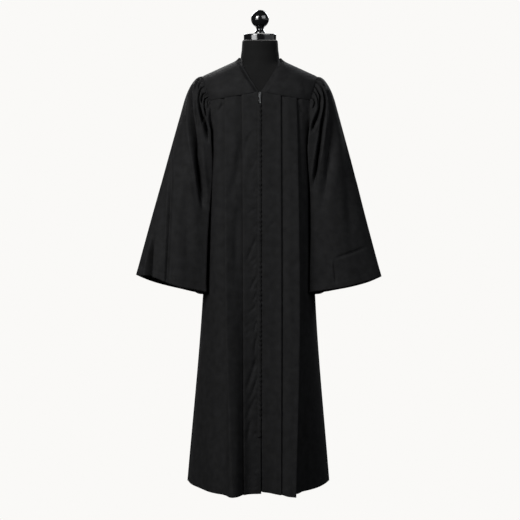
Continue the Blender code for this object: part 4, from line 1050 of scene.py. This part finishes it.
# A hanging fold runs down through its places (x, z) as seen from the front. A depth over 0 is a
# valley, a lip is how far the cloth stands out on both sides of it, and lean makes the valley
# steeper on its outer side. It runs out over the last share of its length, its fade.
HangingFold = namedtuple("HangingFold", "side face depth width lip lean fade places")
HANGING_FOLDS = (
    HangingFold(-1, -1, 0.0330, 0.0062, 0.0030, 0.2, 0.32, (
        (0.2170, 1.3020), (0.2208, 1.2809), (0.2223, 1.2525), (0.2222, 1.2274), (0.2202, 1.1991),
        (0.2160, 1.1645), (0.2056, 1.1045), (0.1935, 1.0350), (0.1850, 0.9718), (0.1800, 0.9200),
        (0.1775, 0.8850))),
    HangingFold(-1, -1, 0.0150, 0.0023, 0.0014, 0.2, 0.45, (
        (0.1930, 1.3257), (0.2011, 1.3128), (0.2057, 1.2997), (0.2084, 1.2856))),
    HangingFold(-1, -1, 0.0160, 0.0023, 0.0014, 0.2, 0.45, (
        (0.1815, 1.3150), (0.1915, 1.3091), (0.1955, 1.2978), (0.1963, 1.2872))),
    HangingFold(-1, -1, 0.0260, 0.0042, 0.0020, 0.2, 0.30, (
        (0.1760, 1.3003), (0.1874, 1.2944), (0.1930, 1.2807), (0.1964, 1.2621), (0.1950, 1.2465),
        (0.1899, 1.2245), (0.1828, 1.2023), (0.1742, 1.1740), (0.1660, 1.1398), (0.1600, 1.1150))),
    HangingFold(-1, -1, 0.0180, 0.0023, 0.0014, 0.2, 0.45, (
        (0.1705, 1.2813), (0.1802, 1.2757), (0.1848, 1.2639), (0.1860, 1.2530), (0.1849, 1.2405))),
    HangingFold(-1, -1, 0.0180, 0.0022, 0.0012, 0.2, 0.45, (
        (0.1640, 1.2656), (0.1731, 1.2597), (0.1759, 1.2513), (0.1755, 1.2341), (0.1720, 1.2134),
        (0.1678, 1.1965))),
    HangingFold(-1, -1, 0.0070, 0.0022, 0.0010, 0.0, 0.45, (
        (0.1608, 1.2550), (0.1650, 1.2485), (0.1632, 1.2417), (0.1615, 1.2310))),
    HangingFold(-1, -1, 0.0050, 0.0045, 0.0010, 0.0, 0.45, (
        (0.2018, 1.2716), (0.2029, 1.2434), (0.2015, 1.2121), (0.1976, 1.1681), (0.1885, 1.0989),
        (0.1800, 1.0200))),
    HangingFold(-1, -1, 0.0080, 0.0042, 0.0014, 0.3, 0.10, (
        (0.2790, 1.1200), (0.2835, 1.0200), (0.2900, 0.8583), (0.2975, 0.6459))),
    HangingFold(-1, -1, 0.0260, 0.0056, 0.0030, 0.4, 0.03, (
        (0.3340, 0.8400), (0.3405, 0.8100), (0.3505, 0.7523), (0.3595, 0.6685))),
    HangingFold(-1, -1, 0.0050, 0.0120, 0.0020, 0.0, 0.45, (
        (0.2360, 1.0200), (0.2330, 0.9000), (0.2280, 0.7600), (0.2250, 0.6500))),
    HangingFold(1, -1, 0.0240, 0.0040, 0.0022, 0.0, 0.25, (
        (0.1780, 1.3125), (0.1902, 1.3040), (0.1996, 1.2909), (0.2042, 1.2699), (0.2060, 1.2482),
        (0.2040, 1.2203), (0.1995, 1.1850), (0.1941, 1.1426), (0.1864, 1.0922), (0.1770, 1.0291),
        (0.1690, 0.9700))),
    HangingFold(1, -1, 0.0260, 0.0048, 0.0022, 0.2, 0.25, (
        (0.1760, 1.2985), (0.1842, 1.2881), (0.1911, 1.2705), (0.1930, 1.2527), (0.1913, 1.2342),
        (0.1849, 1.2131), (0.1775, 1.1922), (0.1700, 1.1700), (0.1650, 1.1500))),
    HangingFold(1, -1, 0.0170, 0.0023, 0.0014, 0.0, 0.45, (
        (0.1690, 1.2840), (0.1786, 1.2742), (0.1839, 1.2591), (0.1848, 1.2435), (0.1824, 1.2279))),
    HangingFold(1, -1, 0.0150, 0.0022, 0.0012, 0.0, 0.45, (
        (0.1618, 1.2620), (0.1705, 1.2567), (0.1727, 1.2479), (0.1689, 1.2354), (0.1634, 1.2254))),
    HangingFold(1, -1, 0.0130, 0.0023, 0.0014, 0.0, 0.45, (
        (0.1822, 1.3206), (0.1922, 1.3147), (0.1997, 1.3059), (0.2054, 1.2946))),
    HangingFold(1, -1, 0.0170, 0.0100, 0.0020, -0.2, 0.45, (
        (0.2167, 1.2840), (0.2242, 1.2557), (0.2286, 1.2242), (0.2298, 1.1928), (0.2266, 1.1296),
        (0.2191, 1.0506), (0.2050, 0.9555), (0.1908, 0.8762))),
    HangingFold(1, -1, 0.0040, 0.0110, 0.0010, 0.0, 0.45, (
        (0.2760, 1.1500), (0.2840, 1.0200), (0.2900, 0.8800), (0.2960, 0.7400))),
    HangingFold(-1, 1, 0.0180, 0.0070, 0.0020, 0.3, 0.45, (
        (0.2090, 1.2980), (0.2130, 1.2200), (0.2160, 1.1000), (0.2260, 0.9400), (0.2330, 0.8300))),
    HangingFold(-1, 1, 0.0080, 0.0120, 0.0020, 0.0, 0.45, (
        (0.2440, 1.2200), (0.2520, 1.1000), (0.2700, 0.9300), (0.2900, 0.7400))),
    HangingFold(-1, 1, 0.0060, 0.0042, 0.0008, 0.0, 0.45, (
        (0.1790, 1.3080), (0.1880, 1.2960), (0.1930, 1.2600), (0.1890, 1.2100), (0.1800, 1.1300))),
    HangingFold(-1, 1, 0.0045, 0.0032, 0.0006, 0.0, 0.45, (
        (0.1700, 1.2850), (0.1780, 1.2740), (0.1820, 1.2560), (0.1800, 1.2300), (0.1740, 1.2000))),
    HangingFold(1, 1, 0.0180, 0.0068, 0.0020, 0.3, 0.45, (
        (0.2060, 1.2980), (0.2090, 1.2200), (0.2130, 1.0900), (0.2230, 0.9200), (0.2300, 0.8100))),
    HangingFold(1, 1, 0.0080, 0.0130, 0.0020, 0.0, 0.45, (
        (0.2400, 1.2100), (0.2500, 1.0900), (0.2720, 0.9100), (0.2940, 0.7300))),
    HangingFold(1, 1, 0.0060, 0.0042, 0.0008, 0.0, 0.45, (
        (0.1780, 1.3060), (0.1870, 1.2930), (0.1910, 1.2500), (0.1860, 1.1900), (0.1780, 1.1200))),
    HangingFold(1, 1, 0.0045, 0.0032, 0.0006, 0.0, 0.45, (
        (0.1680, 1.2820), (0.1760, 1.2700), (0.1790, 1.2500), (0.1770, 1.2240), (0.1720, 1.1960))),
)

# A fold that starts below this height grows in from nothing; the others start at the gathers
FREE_FOLD_Z = 1.1600

# The lobe: under the arm the front layer swings in over the side of the body
SleeveLobe = namedtuple("SleeveLobe", "reach z half_height cuff_reach")
LOBE_LEFT = SleeveLobe(0.0120, 1.0850, 0.1050, 0.0090)
LOBE_RIGHT = SleeveLobe(0.0145, 1.0300, 0.1450, 0.0)
LOBE_SET_BACK, CREST_FORWARD = 0.0210, 0.0060

# A crease left from folding the sleeve flat, as long straight lines
SLEEVE_CREASES = (
    Crease(0.2353, 0.7544, 0.2936, 0.7720, 0.3542, 0.7888, 0.0052, 0.0032),
    Crease(0.2353, 0.7534, 0.2400, 0.7080, 0.2453, 0.6633, 0.0048, 0.0032),
)
# Columns round the sleeve: how many lie between one angle and the next
SLEEVE_COLUMNS = (
    (0.0, 10), (8.0, 26), (26.0, 104), (90.0, 24), (112.0, 26), (268.0, 42), (352.0, 6), (360.0, 0)
)
SLEEVE_ROWS = 177
# The edge that is sewn in lies this far inside the armhole and, as a share, this far under it
SEAM_TUCK_IN, SEAM_TUCK_UNDER = 0.0035, 0.018
HEAD_PUFF = 0.0024


def window(value, low, rise, high, fall):
    """0 below low and above high, 1 between, with soft ends."""
    return ease((value - low) / rise) * ease((high - value) / fall)


def hanging_depth(folds, x, z):
    """How far the hanging folds of a table move the cloth at each place."""
    total = np.zeros_like(x)
    for fold in folds:
        heights = [-place[1] for place in fold.places]
        line = [place[0] for place in fold.places]
        centre = curve_through(heights, line, -z)
        slope = (curve_through(heights, line, -z + 0.002) - curve_through(heights, line, -z - 0.002)) / 0.004
        run = -z - heights[0]
        down = run / (heights[-1] - heights[0])
        long = ease((heights[-1] - heights[0] - 0.08) / 0.08)
        width = fold.width * (1.0 + long * (0.75 * ease(run / 0.16) - 0.40))
        off = (x - centre) / np.sqrt(1.0 + slope**2) / width
        off = np.where(off > 0, off / (1.0 - 0.6 * fold.lean), off / (1.0 + 0.6 * fold.lean))
        grows_in = 0.008 if -heights[0] > FREE_FOLD_Z else 0.090
        ends = ease((run + 0.003) / grows_in) * ease((1 - down) / fold.fade)
        depth = fold.depth * (0.65 + 0.35 * ease(run / 0.10))
        lips = hump(np.abs(off) - 1.9, 0.8)
        total += ends * (depth * hump(off, 1.0) - fold.lip * lips)
    return total


def cuff_z(x, lift):
    """Height of the slanting cuff edge, higher at the outer corner."""
    outer = (x - CUFF_INNER_X) / (CUFF_OUTER_X - CUFF_INNER_X)
    return CUFF_INNER_Z + CUFF_RISE * outer + CUFF_CORNER_RISE * np.maximum(0.0, outer) ** 4 + lift


def sleeve_places(side):
    """The sleeve as rows from its armhole down and columns round it, with all its folds."""
    angle = np.concatenate(
        [
            np.linspace(low, high, count, endpoint=False)
            for (low, count), (high, _) in zip(SLEEVE_COLUMNS, SLEEVE_COLUMNS[1:])
        ]
        + [[360.0]]
    )
    angle, along = np.meshgrid(angle, np.linspace(0.0, 1.0, SLEEVE_ROWS + 1))
    ring = armhole(angle)
    out = np.stack([column(SLEEVE_LINES, name, angle) for name in ("out_x", "out_y", "out_z")], axis=2)
    out[..., 0] *= HEAD_WIDTH_LEFT if side > 0 else HEAD_WIDTH_RIGHT
    cuff_x = column(SLEEVE_LINES, "cuff_x", angle)
    lift = column(SLEEVE_LINES, "lift_left" if side > 0 else "lift_right", angle)
    cuff = np.stack((cuff_x, column(SLEEVE_LINES, "cuff_y", angle), cuff_z(cuff_x, lift)), axis=2)
    middle = np.array((0.0, 0.0, (SHOULDER_TIP.z + UNDERARM_Z) / 2))
    under = (middle - ring) * np.array((0.0, 1.0, 1.0)) * SEAM_TUCK_UNDER
    start = ring - np.array((SEAM_TUCK_IN, 0.0, 0.0)) + under
    corner = ring + out
    turn_end = corner + (cuff - corner) * HEAD_SHARE
    t = np.minimum(along / HEAD_ROWS_SHARE, 1.0)[..., None]
    head = start * (1 - t) ** 2 + corner * 2 * t * (1 - t) + turn_end * t**2
    fall = np.maximum(along - HEAD_ROWS_SHARE, 0.0)[..., None] / (1 - HEAD_ROWS_SHARE)
    places = head + (cuff - turn_end) * fall
    crown = hump(np.minimum(angle, 360.0 - angle), 30.0)
    places[..., 2] += HEAD_PUFF * hump(along - 0.09, 0.07) * crown
    if side < 0:
        places[..., 2] += RIGHT_SHOULDER_RISE * ease((0.4 - along) / 0.3) * crown
    lobe = LOBE_LEFT if side > 0 else LOBE_RIGHT
    swung = window(angle, 62.0, 22.0, 104.0, 12.0) * ease((along - 0.06) / 0.20)
    swing = lobe.reach * hump(places[..., 2] - lobe.z, lobe.half_height)
    drawn_in = ease((UNDERARM_Z - places[..., 2]) / (UNDERARM_Z - CUFF_INNER_Z))
    places[..., 0] -= swung * (swing + lobe.cuff_reach * drawn_in)
    lies_back = ease((1.17 - places[..., 2]) / 0.20)
    turned = window(angle, 58.0, 28.0, 128.0, 26.0)
    places[..., 1] += (LOBE_SET_BACK * turned - CREST_FORWARD * hump(angle - 50.0, 26.0)) * lies_back
    outward = surface_normals(places)
    centre = places.mean(axis=1, keepdims=True)
    outward *= np.sign(((places - centre) * outward).sum(axis=2, keepdims=True))
    head_top = ease((72.0 - np.minimum(angle, 360.0 - angle)) / 24.0)
    facing = ease(np.abs(outward[..., 1]) * (1.6 + 1.6 * head_top * ease((0.35 - along) / 0.25)) - 0.2)
    facing *= ease(along / 0.030)
    x, z = places[..., 0], places[..., 2]
    front = angle <= 180
    inward = np.zeros_like(x)
    for face, here in ((-1, front), (1, ~front)):
        folds = [fold for fold in HANGING_FOLDS if (fold.side, fold.face) == (side, face)]
        inward += here * facing * hanging_depth(folds, x, z)
    if side > 0:
        inward += front * facing * crease_depth(SLEEVE_CREASES, x, z)
    gathered = window(angle, 6.0, 12.0, 92.0, 16.0) + window(angle, 268.0, 12.0, 354.0, 12.0)
    gathered = SMALL_GATHER_DEPTH * gathered * window(along, 0.0, 0.03, 0.30, 0.27)
    inward += gathered * np.sin(np.radians(angle) * 34.0 + 3.0 * np.sin(angle * 0.11) + side)
    flutes = np.sin(np.radians(angle) * CUFF_FLUTES)
    inward -= CUFF_FLUTE * flutes * ease(along - 0.4) * facing
    inward += SLEEVE_WAVE * np.sin(31.0 * x + 17.0 * z + 2.0 * side) * facing * ease((along - 0.3) / 0.3)
    past_hem = edge_distance(places, "last_row") - CUFF_HEM
    inward += CUFF_HEM_STEP * ease(past_hem / CUFF_HEM_EDGE) + CUFF_HEM_DENT * hump(past_hem, CUFF_HEM_EDGE)
    places = places - outward * inward[..., None]
    stretch = 1.0 + ((CUFF_SCALE_LEFT if side > 0 else CUFF_SCALE_RIGHT) - 1.0) * ease(along)
    places[..., 0] *= side * stretch
    return places


SLEEVES = {"sleeve_left": sleeve_places(1), "sleeve_right": sleeve_places(-1)}
for stands_for, places in SLEEVES.items():
    sleeve = add_cloth(f"{stands_for}_cloth", places, stands_for, closed=True)


# ---------------------------------------------------------------------------------------------
# Zip: a coil zip on woven tape, sewn behind the centre edges of the fronts from the neck to a
# hand above the hem. A narrow placket of the gown's own cloth is sewn on the right front and
# hides the coils; its free edge is puckered by the stitching.

ZIP_END_Z = 0.1960
HINGE_Z = 1.2750
TAPE_HALF_WIDTH, TAPE_TOP_Z, TAPE_SET_BACK = 0.0120, 1.2800, 0.0021
PLACKET_LEFT_X, PLACKET_RIGHT_X, PLACKET_TOP_Z = -0.0085, 0.0032, 1.2460
PLACKET_FORWARD, PLACKET_CROWN = 0.0026, 0.0014
PLACKET_RIPPLE, PLACKET_EDGE_RIPPLE = 0.0014, 0.0006
TAPE_WALL, PLACKET_WALL = 0.0007, 0.0009
COIL_PITCH, COIL_OUT, COIL_SET_BACK = 0.0024, 0.0011, 0.0011
COIL_HALF_SIZE = (0.0019, 0.00075, 0.00072)
COIL_TOP_Z = HINGE_Z - 0.008
CAST_EDGE_RADIUS = 0.00018


def centre_front_y(z):
    return line_at(LEFT_FRONT_LINES[0], z, YOKE_CENTRE_Z, HEM_Z)[1]


def strip_places(x_from, x_to, z_from, z_to, forward, columns, rows):
    across, down = np.meshgrid(np.linspace(0, 1, columns + 1), np.linspace(0, 1, rows + 1))
    z = z_to + (z_from - z_to) * down
    return across, np.stack((x_from + (x_to - x_from) * across, centre_front_y(z) - forward, z), axis=2)


def add_tape():
    _, places = strip_places(
        -TAPE_HALF_WIDTH, TAPE_HALF_WIDTH, ZIP_END_Z, TAPE_TOP_Z, -TAPE_SET_BACK, 12, 240
    )
    cloth = make_gown_cloth("zip_tape_twill", 0.0150, 900.0)
    tape = add_cloth("zip_tape_woven", places, "zip_tape", cloth, "zip_tape", wall=TAPE_WALL)


def add_placket():
    across, places = strip_places(
        PLACKET_LEFT_X, PLACKET_RIGHT_X, ZIP_END_Z - 0.004, PLACKET_TOP_Z, PLACKET_FORWARD, 14, 700
    )
    z = places[..., 2]
    free = ease((across - 0.25) / 0.6)
    ripple = np.sin(2 * math.pi * (z / 0.0158 + 0.55 * across) + 1.1 * np.sin(37.0 * z))
    ripple *= 0.65 + 0.35 * np.sin(53.0 * z + 0.8 * np.sin(19.0 * z))
    sewn = hump(across - 0.14, 0.07)
    places[..., 0] += PLACKET_EDGE_RIPPLE * ripple * ease((across - 0.6) / 0.4)
    places[..., 1] -= PLACKET_CROWN * np.sin(math.pi * across) + PLACKET_RIPPLE * ripple * free
    places[..., 1] += 0.0007 * sewn + 0.0005 * (1 - ease(across / 0.08))
    placket = add_cloth("zip_placket_cloth", places, "zip_placket", wall=PLACKET_WALL)
    return places


def add_coils():
    """The two rows of coil loops, each loop a small rounded bead turned across the tape."""
    material, tree, shader = start_material("zip_coil_nylon", (0.020, 0.020, 0.021), 0.38)
    mesh = bpy.data.meshes.new("zip_coils")
    coils = bmesh.new()
    count = int((COIL_TOP_Z - ZIP_END_Z) / COIL_PITCH)
    for loop in range(count):
        for side in (-1, 1):
            z = ZIP_END_Z + 0.002 + COIL_PITCH * (loop + (0.5 if side > 0 else 0.0))
            place = Vector((side * COIL_OUT, centre_front_y(np.array(z)) + COIL_SET_BACK, z))
            bmesh.ops.create_icosphere(
                coils,
                subdivisions=1,
                radius=1.0,
                matrix=Matrix.Translation(place) @ Matrix.Diagonal((*COIL_HALF_SIZE, 1.0)),
            )
    coils.to_mesh(mesh)
    coils.free()
    mesh.shade_smooth()
    vary(
        tree,
        shader,
        "Roughness",
        {"Vector": object_place(tree), "Value": 0.38, "Patch Scale": 120.0, "Patch Amount": 0.5},
    )
    add_piece("zip_coils", mesh, material, "zip_tape")


def make_satin_metal():
    made, tree, shader = start_material("satin_zip_metal", (0.56, 0.57, 0.58), 0.26, 1.0)
    long_way = add_node(
        tree, "ShaderNodeMapping", {"Vector": object_place(tree), "Scale": (1.0, 1.0, 0.06)}
    )
    rough = vary(
        tree,
        shader,
        "Roughness",
        {
            "Vector": long_way.outputs[0],
            "Value": 0.26,
            "Patch Scale": 300.0,
            "Patch Amount": 0.5,
            "Grain Scale": 6000.0,
            "Grain Amount": 0.5,
        },
    )
    add_bump(tree, shader, rough.outputs["Grain"], strength=0.15, distance=0.00003)
    return made


def add_cast_part(name, node, material, body):
    """A die-cast part: the CAD node's shape with every sharp edge rounded over."""
    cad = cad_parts[node]
    mesh = bpy.data.meshes.new(name)
    cast = bmesh.new()
    cast.from_mesh(cad.data)
    cast.transform(cad.matrix_world)
    bmesh.ops.remove_doubles(cast, verts=cast.verts, dist=MERGE / 2)
    bmesh.ops.dissolve_limit(
        cast, angle_limit=math.radians(2.0), verts=cast.verts, edges=cast.edges
    )
    sharp = [edge for edge in cast.edges if edge.calc_face_angle(0.0) > math.radians(35.0)]
    bmesh.ops.bevel(
        cast,
        geom=sharp,
        affect="EDGES",
        offset=CAST_EDGE_RADIUS,
        segments=2,
        profile=0.5,
        material=-1,
        clamp_overlap=True,
    )
    bmesh.ops.recalc_face_normals(cast, faces=cast.faces)
    cast.to_mesh(mesh)
    cast.free()
    return add_piece(name, mesh, material, "zip_metal", node, body=body)


add_tape()
PLACKET = add_placket()
add_coils()
SATIN_METAL = make_satin_metal()
add_cast_part("zip_slider_cast", "zip_slider", SATIN_METAL, DRESSED)
add_cast_part("zip_pull_cast", "zip_pull", SATIN_METAL, "zip_pull_tab")


# ---------------------------------------------------------------------------------------------
# Stitching: lockstitch in black polyester thread that holds the placket and the left front to
# the zip and closes the hems of skirt and sleeves.

STITCH_PITCH, STITCH_LENGTH, THREAD_RADIUS = 0.0036, 0.0029, 0.00019
STITCH_LIFT = CLOTH_WALL / 2 + 0.00001
PLACKET_STITCH_INSET, ZIP_STITCH_INSET, SKIRT_HEM = 0.0017, 0.0042, 0.0240
FORWARD = np.array((0.0, -1.0, 0.0))


def line_from_edge(places, edge, inset):
    """The places of the line at a set distance from an edge of a cut, and the normals there."""
    normals, run = surface_normals(places), edge_distance(places, edge)
    if edge.endswith("row"):
        places, normals = places.swapaxes(0, 1), normals.swapaxes(0, 1)
        run = run.T
    if edge.startswith("last"):
        places, normals, run = places[:, ::-1], normals[:, ::-1], run[:, ::-1]
    after = np.argmax(run >= inset, axis=1)
    rows = np.arange(len(run))
    share = ((inset - run[rows, after - 1]) / (run[rows, after] - run[rows, after - 1]))[:, None]
    line = places[rows, after - 1] * (1 - share) + places[rows, after] * share
    return line, normals[rows, after]


def make_thread():
    made, tree, shader = start_material("sewing_thread_black", (0.009, 0.009, 0.0095), 0.7)
    shader.inputs["Specular IOR Level"].default_value = 0.15
    vary(
        tree,
        shader,
        "Base Color",
        {"Vector": object_place(tree), "Value": 0.009, "Patch Scale": 300.0, "Patch Amount": 0.6},
    )
    return made


THREAD = make_thread()


def add_stitches(name, *lines):
    """Rows of stitches along lines of places, each stitch set on the cloth's outer face."""
    mesh = bpy.data.meshes.new(name)
    sewn = bmesh.new()
    for places, normals in lines:
        run = np.concatenate(([0.0], np.cumsum(np.linalg.norm(np.diff(places, axis=0), axis=1))))
        at = np.arange(STITCH_PITCH, run[-1] - STITCH_PITCH, STITCH_PITCH)
        ahead = np.stack([np.interp(at + 0.001, run, places[:, axis]) for axis in range(3)], axis=1)
        here = np.stack([np.interp(at, run, places[:, axis]) for axis in range(3)], axis=1)
        out = np.stack([np.interp(at, run, normals[:, axis]) for axis in range(3)], axis=1)
        for place, forward, normal in zip(here, ahead - here, out):
            turn = Vector(forward).to_track_quat("Y", "Z").to_matrix().to_4x4()
            bmesh.ops.create_icosphere(
                sewn,
                subdivisions=1,
                radius=1.0,
                matrix=Matrix.Translation(Vector(place) + Vector(normal).normalized() * STITCH_LIFT)
                @ turn
                @ Matrix.Diagonal((THREAD_RADIUS, STITCH_LENGTH / 2, THREAD_RADIUS, 1.0)),
            )
    sewn.to_mesh(mesh)
    sewn.free()
    mesh.shade_smooth()
    add_piece(name, mesh, THREAD, "gown_cloth")


def facing(line, way):
    """The line with its normals turned to point along a direction."""
    places, normals = line
    return places, normals * np.sign((normals * way).sum(axis=1, keepdims=True))


add_stitches(
    "stitches_zip",
    facing(line_from_edge(PLACKET, "first_column", PLACKET_STITCH_INSET), FORWARD),
    facing(line_from_edge(LEFT_FRONT, "first_column", ZIP_STITCH_INSET), FORWARD),
)
add_stitches(
    "stitches_cuffs", *(line_from_edge(places, "last_row", CUFF_HEM) for places in SLEEVES.values())
)
add_stitches("stitches_back_hem", facing(line_from_edge(BACK, "last_row", SKIRT_HEM), -FORWARD))
add_stitches(
    "stitches_hem",
    facing(line_from_edge(LEFT_FRONT, "last_row", SKIRT_HEM), FORWARD),
    facing(line_from_edge(RIGHT_FRONT, "last_row", SKIRT_HEM), FORWARD),
)


# ---------------------------------------------------------------------------------------------
# Studio: a pale sweep that shows as one even tone, a softbox high on the left front, a broad
# weaker one on the right, two reflector cards at the height of the neck and two softboxes behind.

BACKDROP = (0.956, 0.947, 0.930, 1.0)
AIM = Vector((0.0, 0.0, 0.95))
FLOOR_HALF, FLOOR_Z = 14.0, -0.0008

floor_mesh = bpy.data.meshes.new("studio_floor")
floor = bmesh.new()
bmesh.ops.create_grid(floor, x_segments=1, y_segments=1, size=FLOOR_HALF)
floor.transform(Matrix.Translation((0.0, 0.0, FLOOR_Z)))
floor.to_mesh(floor_mesh)
floor.free()
floor_object = bpy.data.objects.new("studio_floor", floor_mesh)
bpy.context.scene.collection.objects.link(floor_object)
paper = bpy.data.materials.new("pale_paper")
paper.use_nodes = True
paper.node_tree.nodes.remove(paper.node_tree.nodes["Principled BSDF"])
glow = add_node(paper.node_tree, "ShaderNodeEmission", {"Color": BACKDROP, "Strength": 1.0})
paper.node_tree.links.new(glow.outputs[0], paper.node_tree.nodes["Material Output"].inputs["Surface"])
floor_mesh.materials.append(paper)
for unseen in ("visible_diffuse", "visible_glossy", "visible_shadow", "visible_transmission"):
    setattr(floor_object, unseen, False)

world = bpy.data.worlds.new("studio")
world.use_nodes = True
bpy.context.scene.world = world
sky = world.node_tree
sky.nodes.clear()
seen = add_node(sky, "ShaderNodeBackground", {"Color": BACKDROP, "Strength": 1.0})
felt = add_node(sky, "ShaderNodeBackground", {"Color": (0.93, 0.96, 1.0, 1.0), "Strength": 0.018})
rays = add_node(sky, "ShaderNodeLightPath", {})
either = add_node(sky, "ShaderNodeMixShader", {0: rays.outputs["Is Camera Ray"]})
sky.links.new(felt.outputs[0], either.inputs[1])
sky.links.new(seen.outputs[0], either.inputs[2])
sky.links.new(either.outputs[0], add_node(sky, "ShaderNodeOutputWorld", {}).inputs["Surface"])


def add_softbox(name, azimuth, height, distance, width, tall, power, colour):
    """A large area light that looks at the gown from a turn round it and a height."""
    light = bpy.data.lights.new(name, "AREA")
    light.shape = "RECTANGLE"
    light.size, light.size_y = width, tall
    light.energy = power
    light.color = colour
    softbox = bpy.data.objects.new(name, light)
    turn = math.radians(azimuth)
    place = Vector((distance * math.sin(turn), -distance * math.cos(turn), height))
    softbox.location = place
    softbox.rotation_euler = (AIM - place).to_track_quat("-Z", "Y").to_euler()
    softbox.visible_camera = False
    bpy.context.scene.collection.objects.link(softbox)


WHITE_LIGHT = (1.0, 1.0, 1.0)
COOL_LIGHT = (0.95, 0.97, 1.0)
add_softbox("key_softbox", -38.0, 2.90, 3.4, 1.5, 1.5, 176.0, WHITE_LIGHT)
add_softbox("fill_panel", 52.0, 3.00, 3.6, 3.6, 2.2, 66.0, COOL_LIGHT)
add_softbox("left_card", -42.0, 1.46, 3.2, 2.2, 0.36, 16.0, WHITE_LIGHT)
add_softbox("right_card", 76.0, 1.46, 2.4, 4.4, 0.5, 2.2, COOL_LIGHT)
add_softbox("rear_left_softbox", -158.0, 2.90, 3.6, 1.6, 1.6, 115.0, WHITE_LIGHT)
add_softbox("rear_right_softbox", 152.0, 2.60, 3.6, 1.6, 1.6, 70.0, COOL_LIGHT)

CAMERA_PLACE, CAMERA_LOOKS_DOWN = (0.0, -6.22, 1.456), 6.5868
camera_data = bpy.data.cameras.new("camera")
camera_data.lens, camera_data.sensor_width = 134.0, 36.0
camera = bpy.data.objects.new("camera", camera_data)
camera.location = CAMERA_PLACE
camera.rotation_euler = (math.pi / 2 - math.radians(CAMERA_LOOKS_DOWN), 0.0, 0.0)
bpy.context.scene.collection.objects.link(camera)
bpy.context.scene.camera = camera
bpy.context.scene.view_settings.view_transform = "Standard"
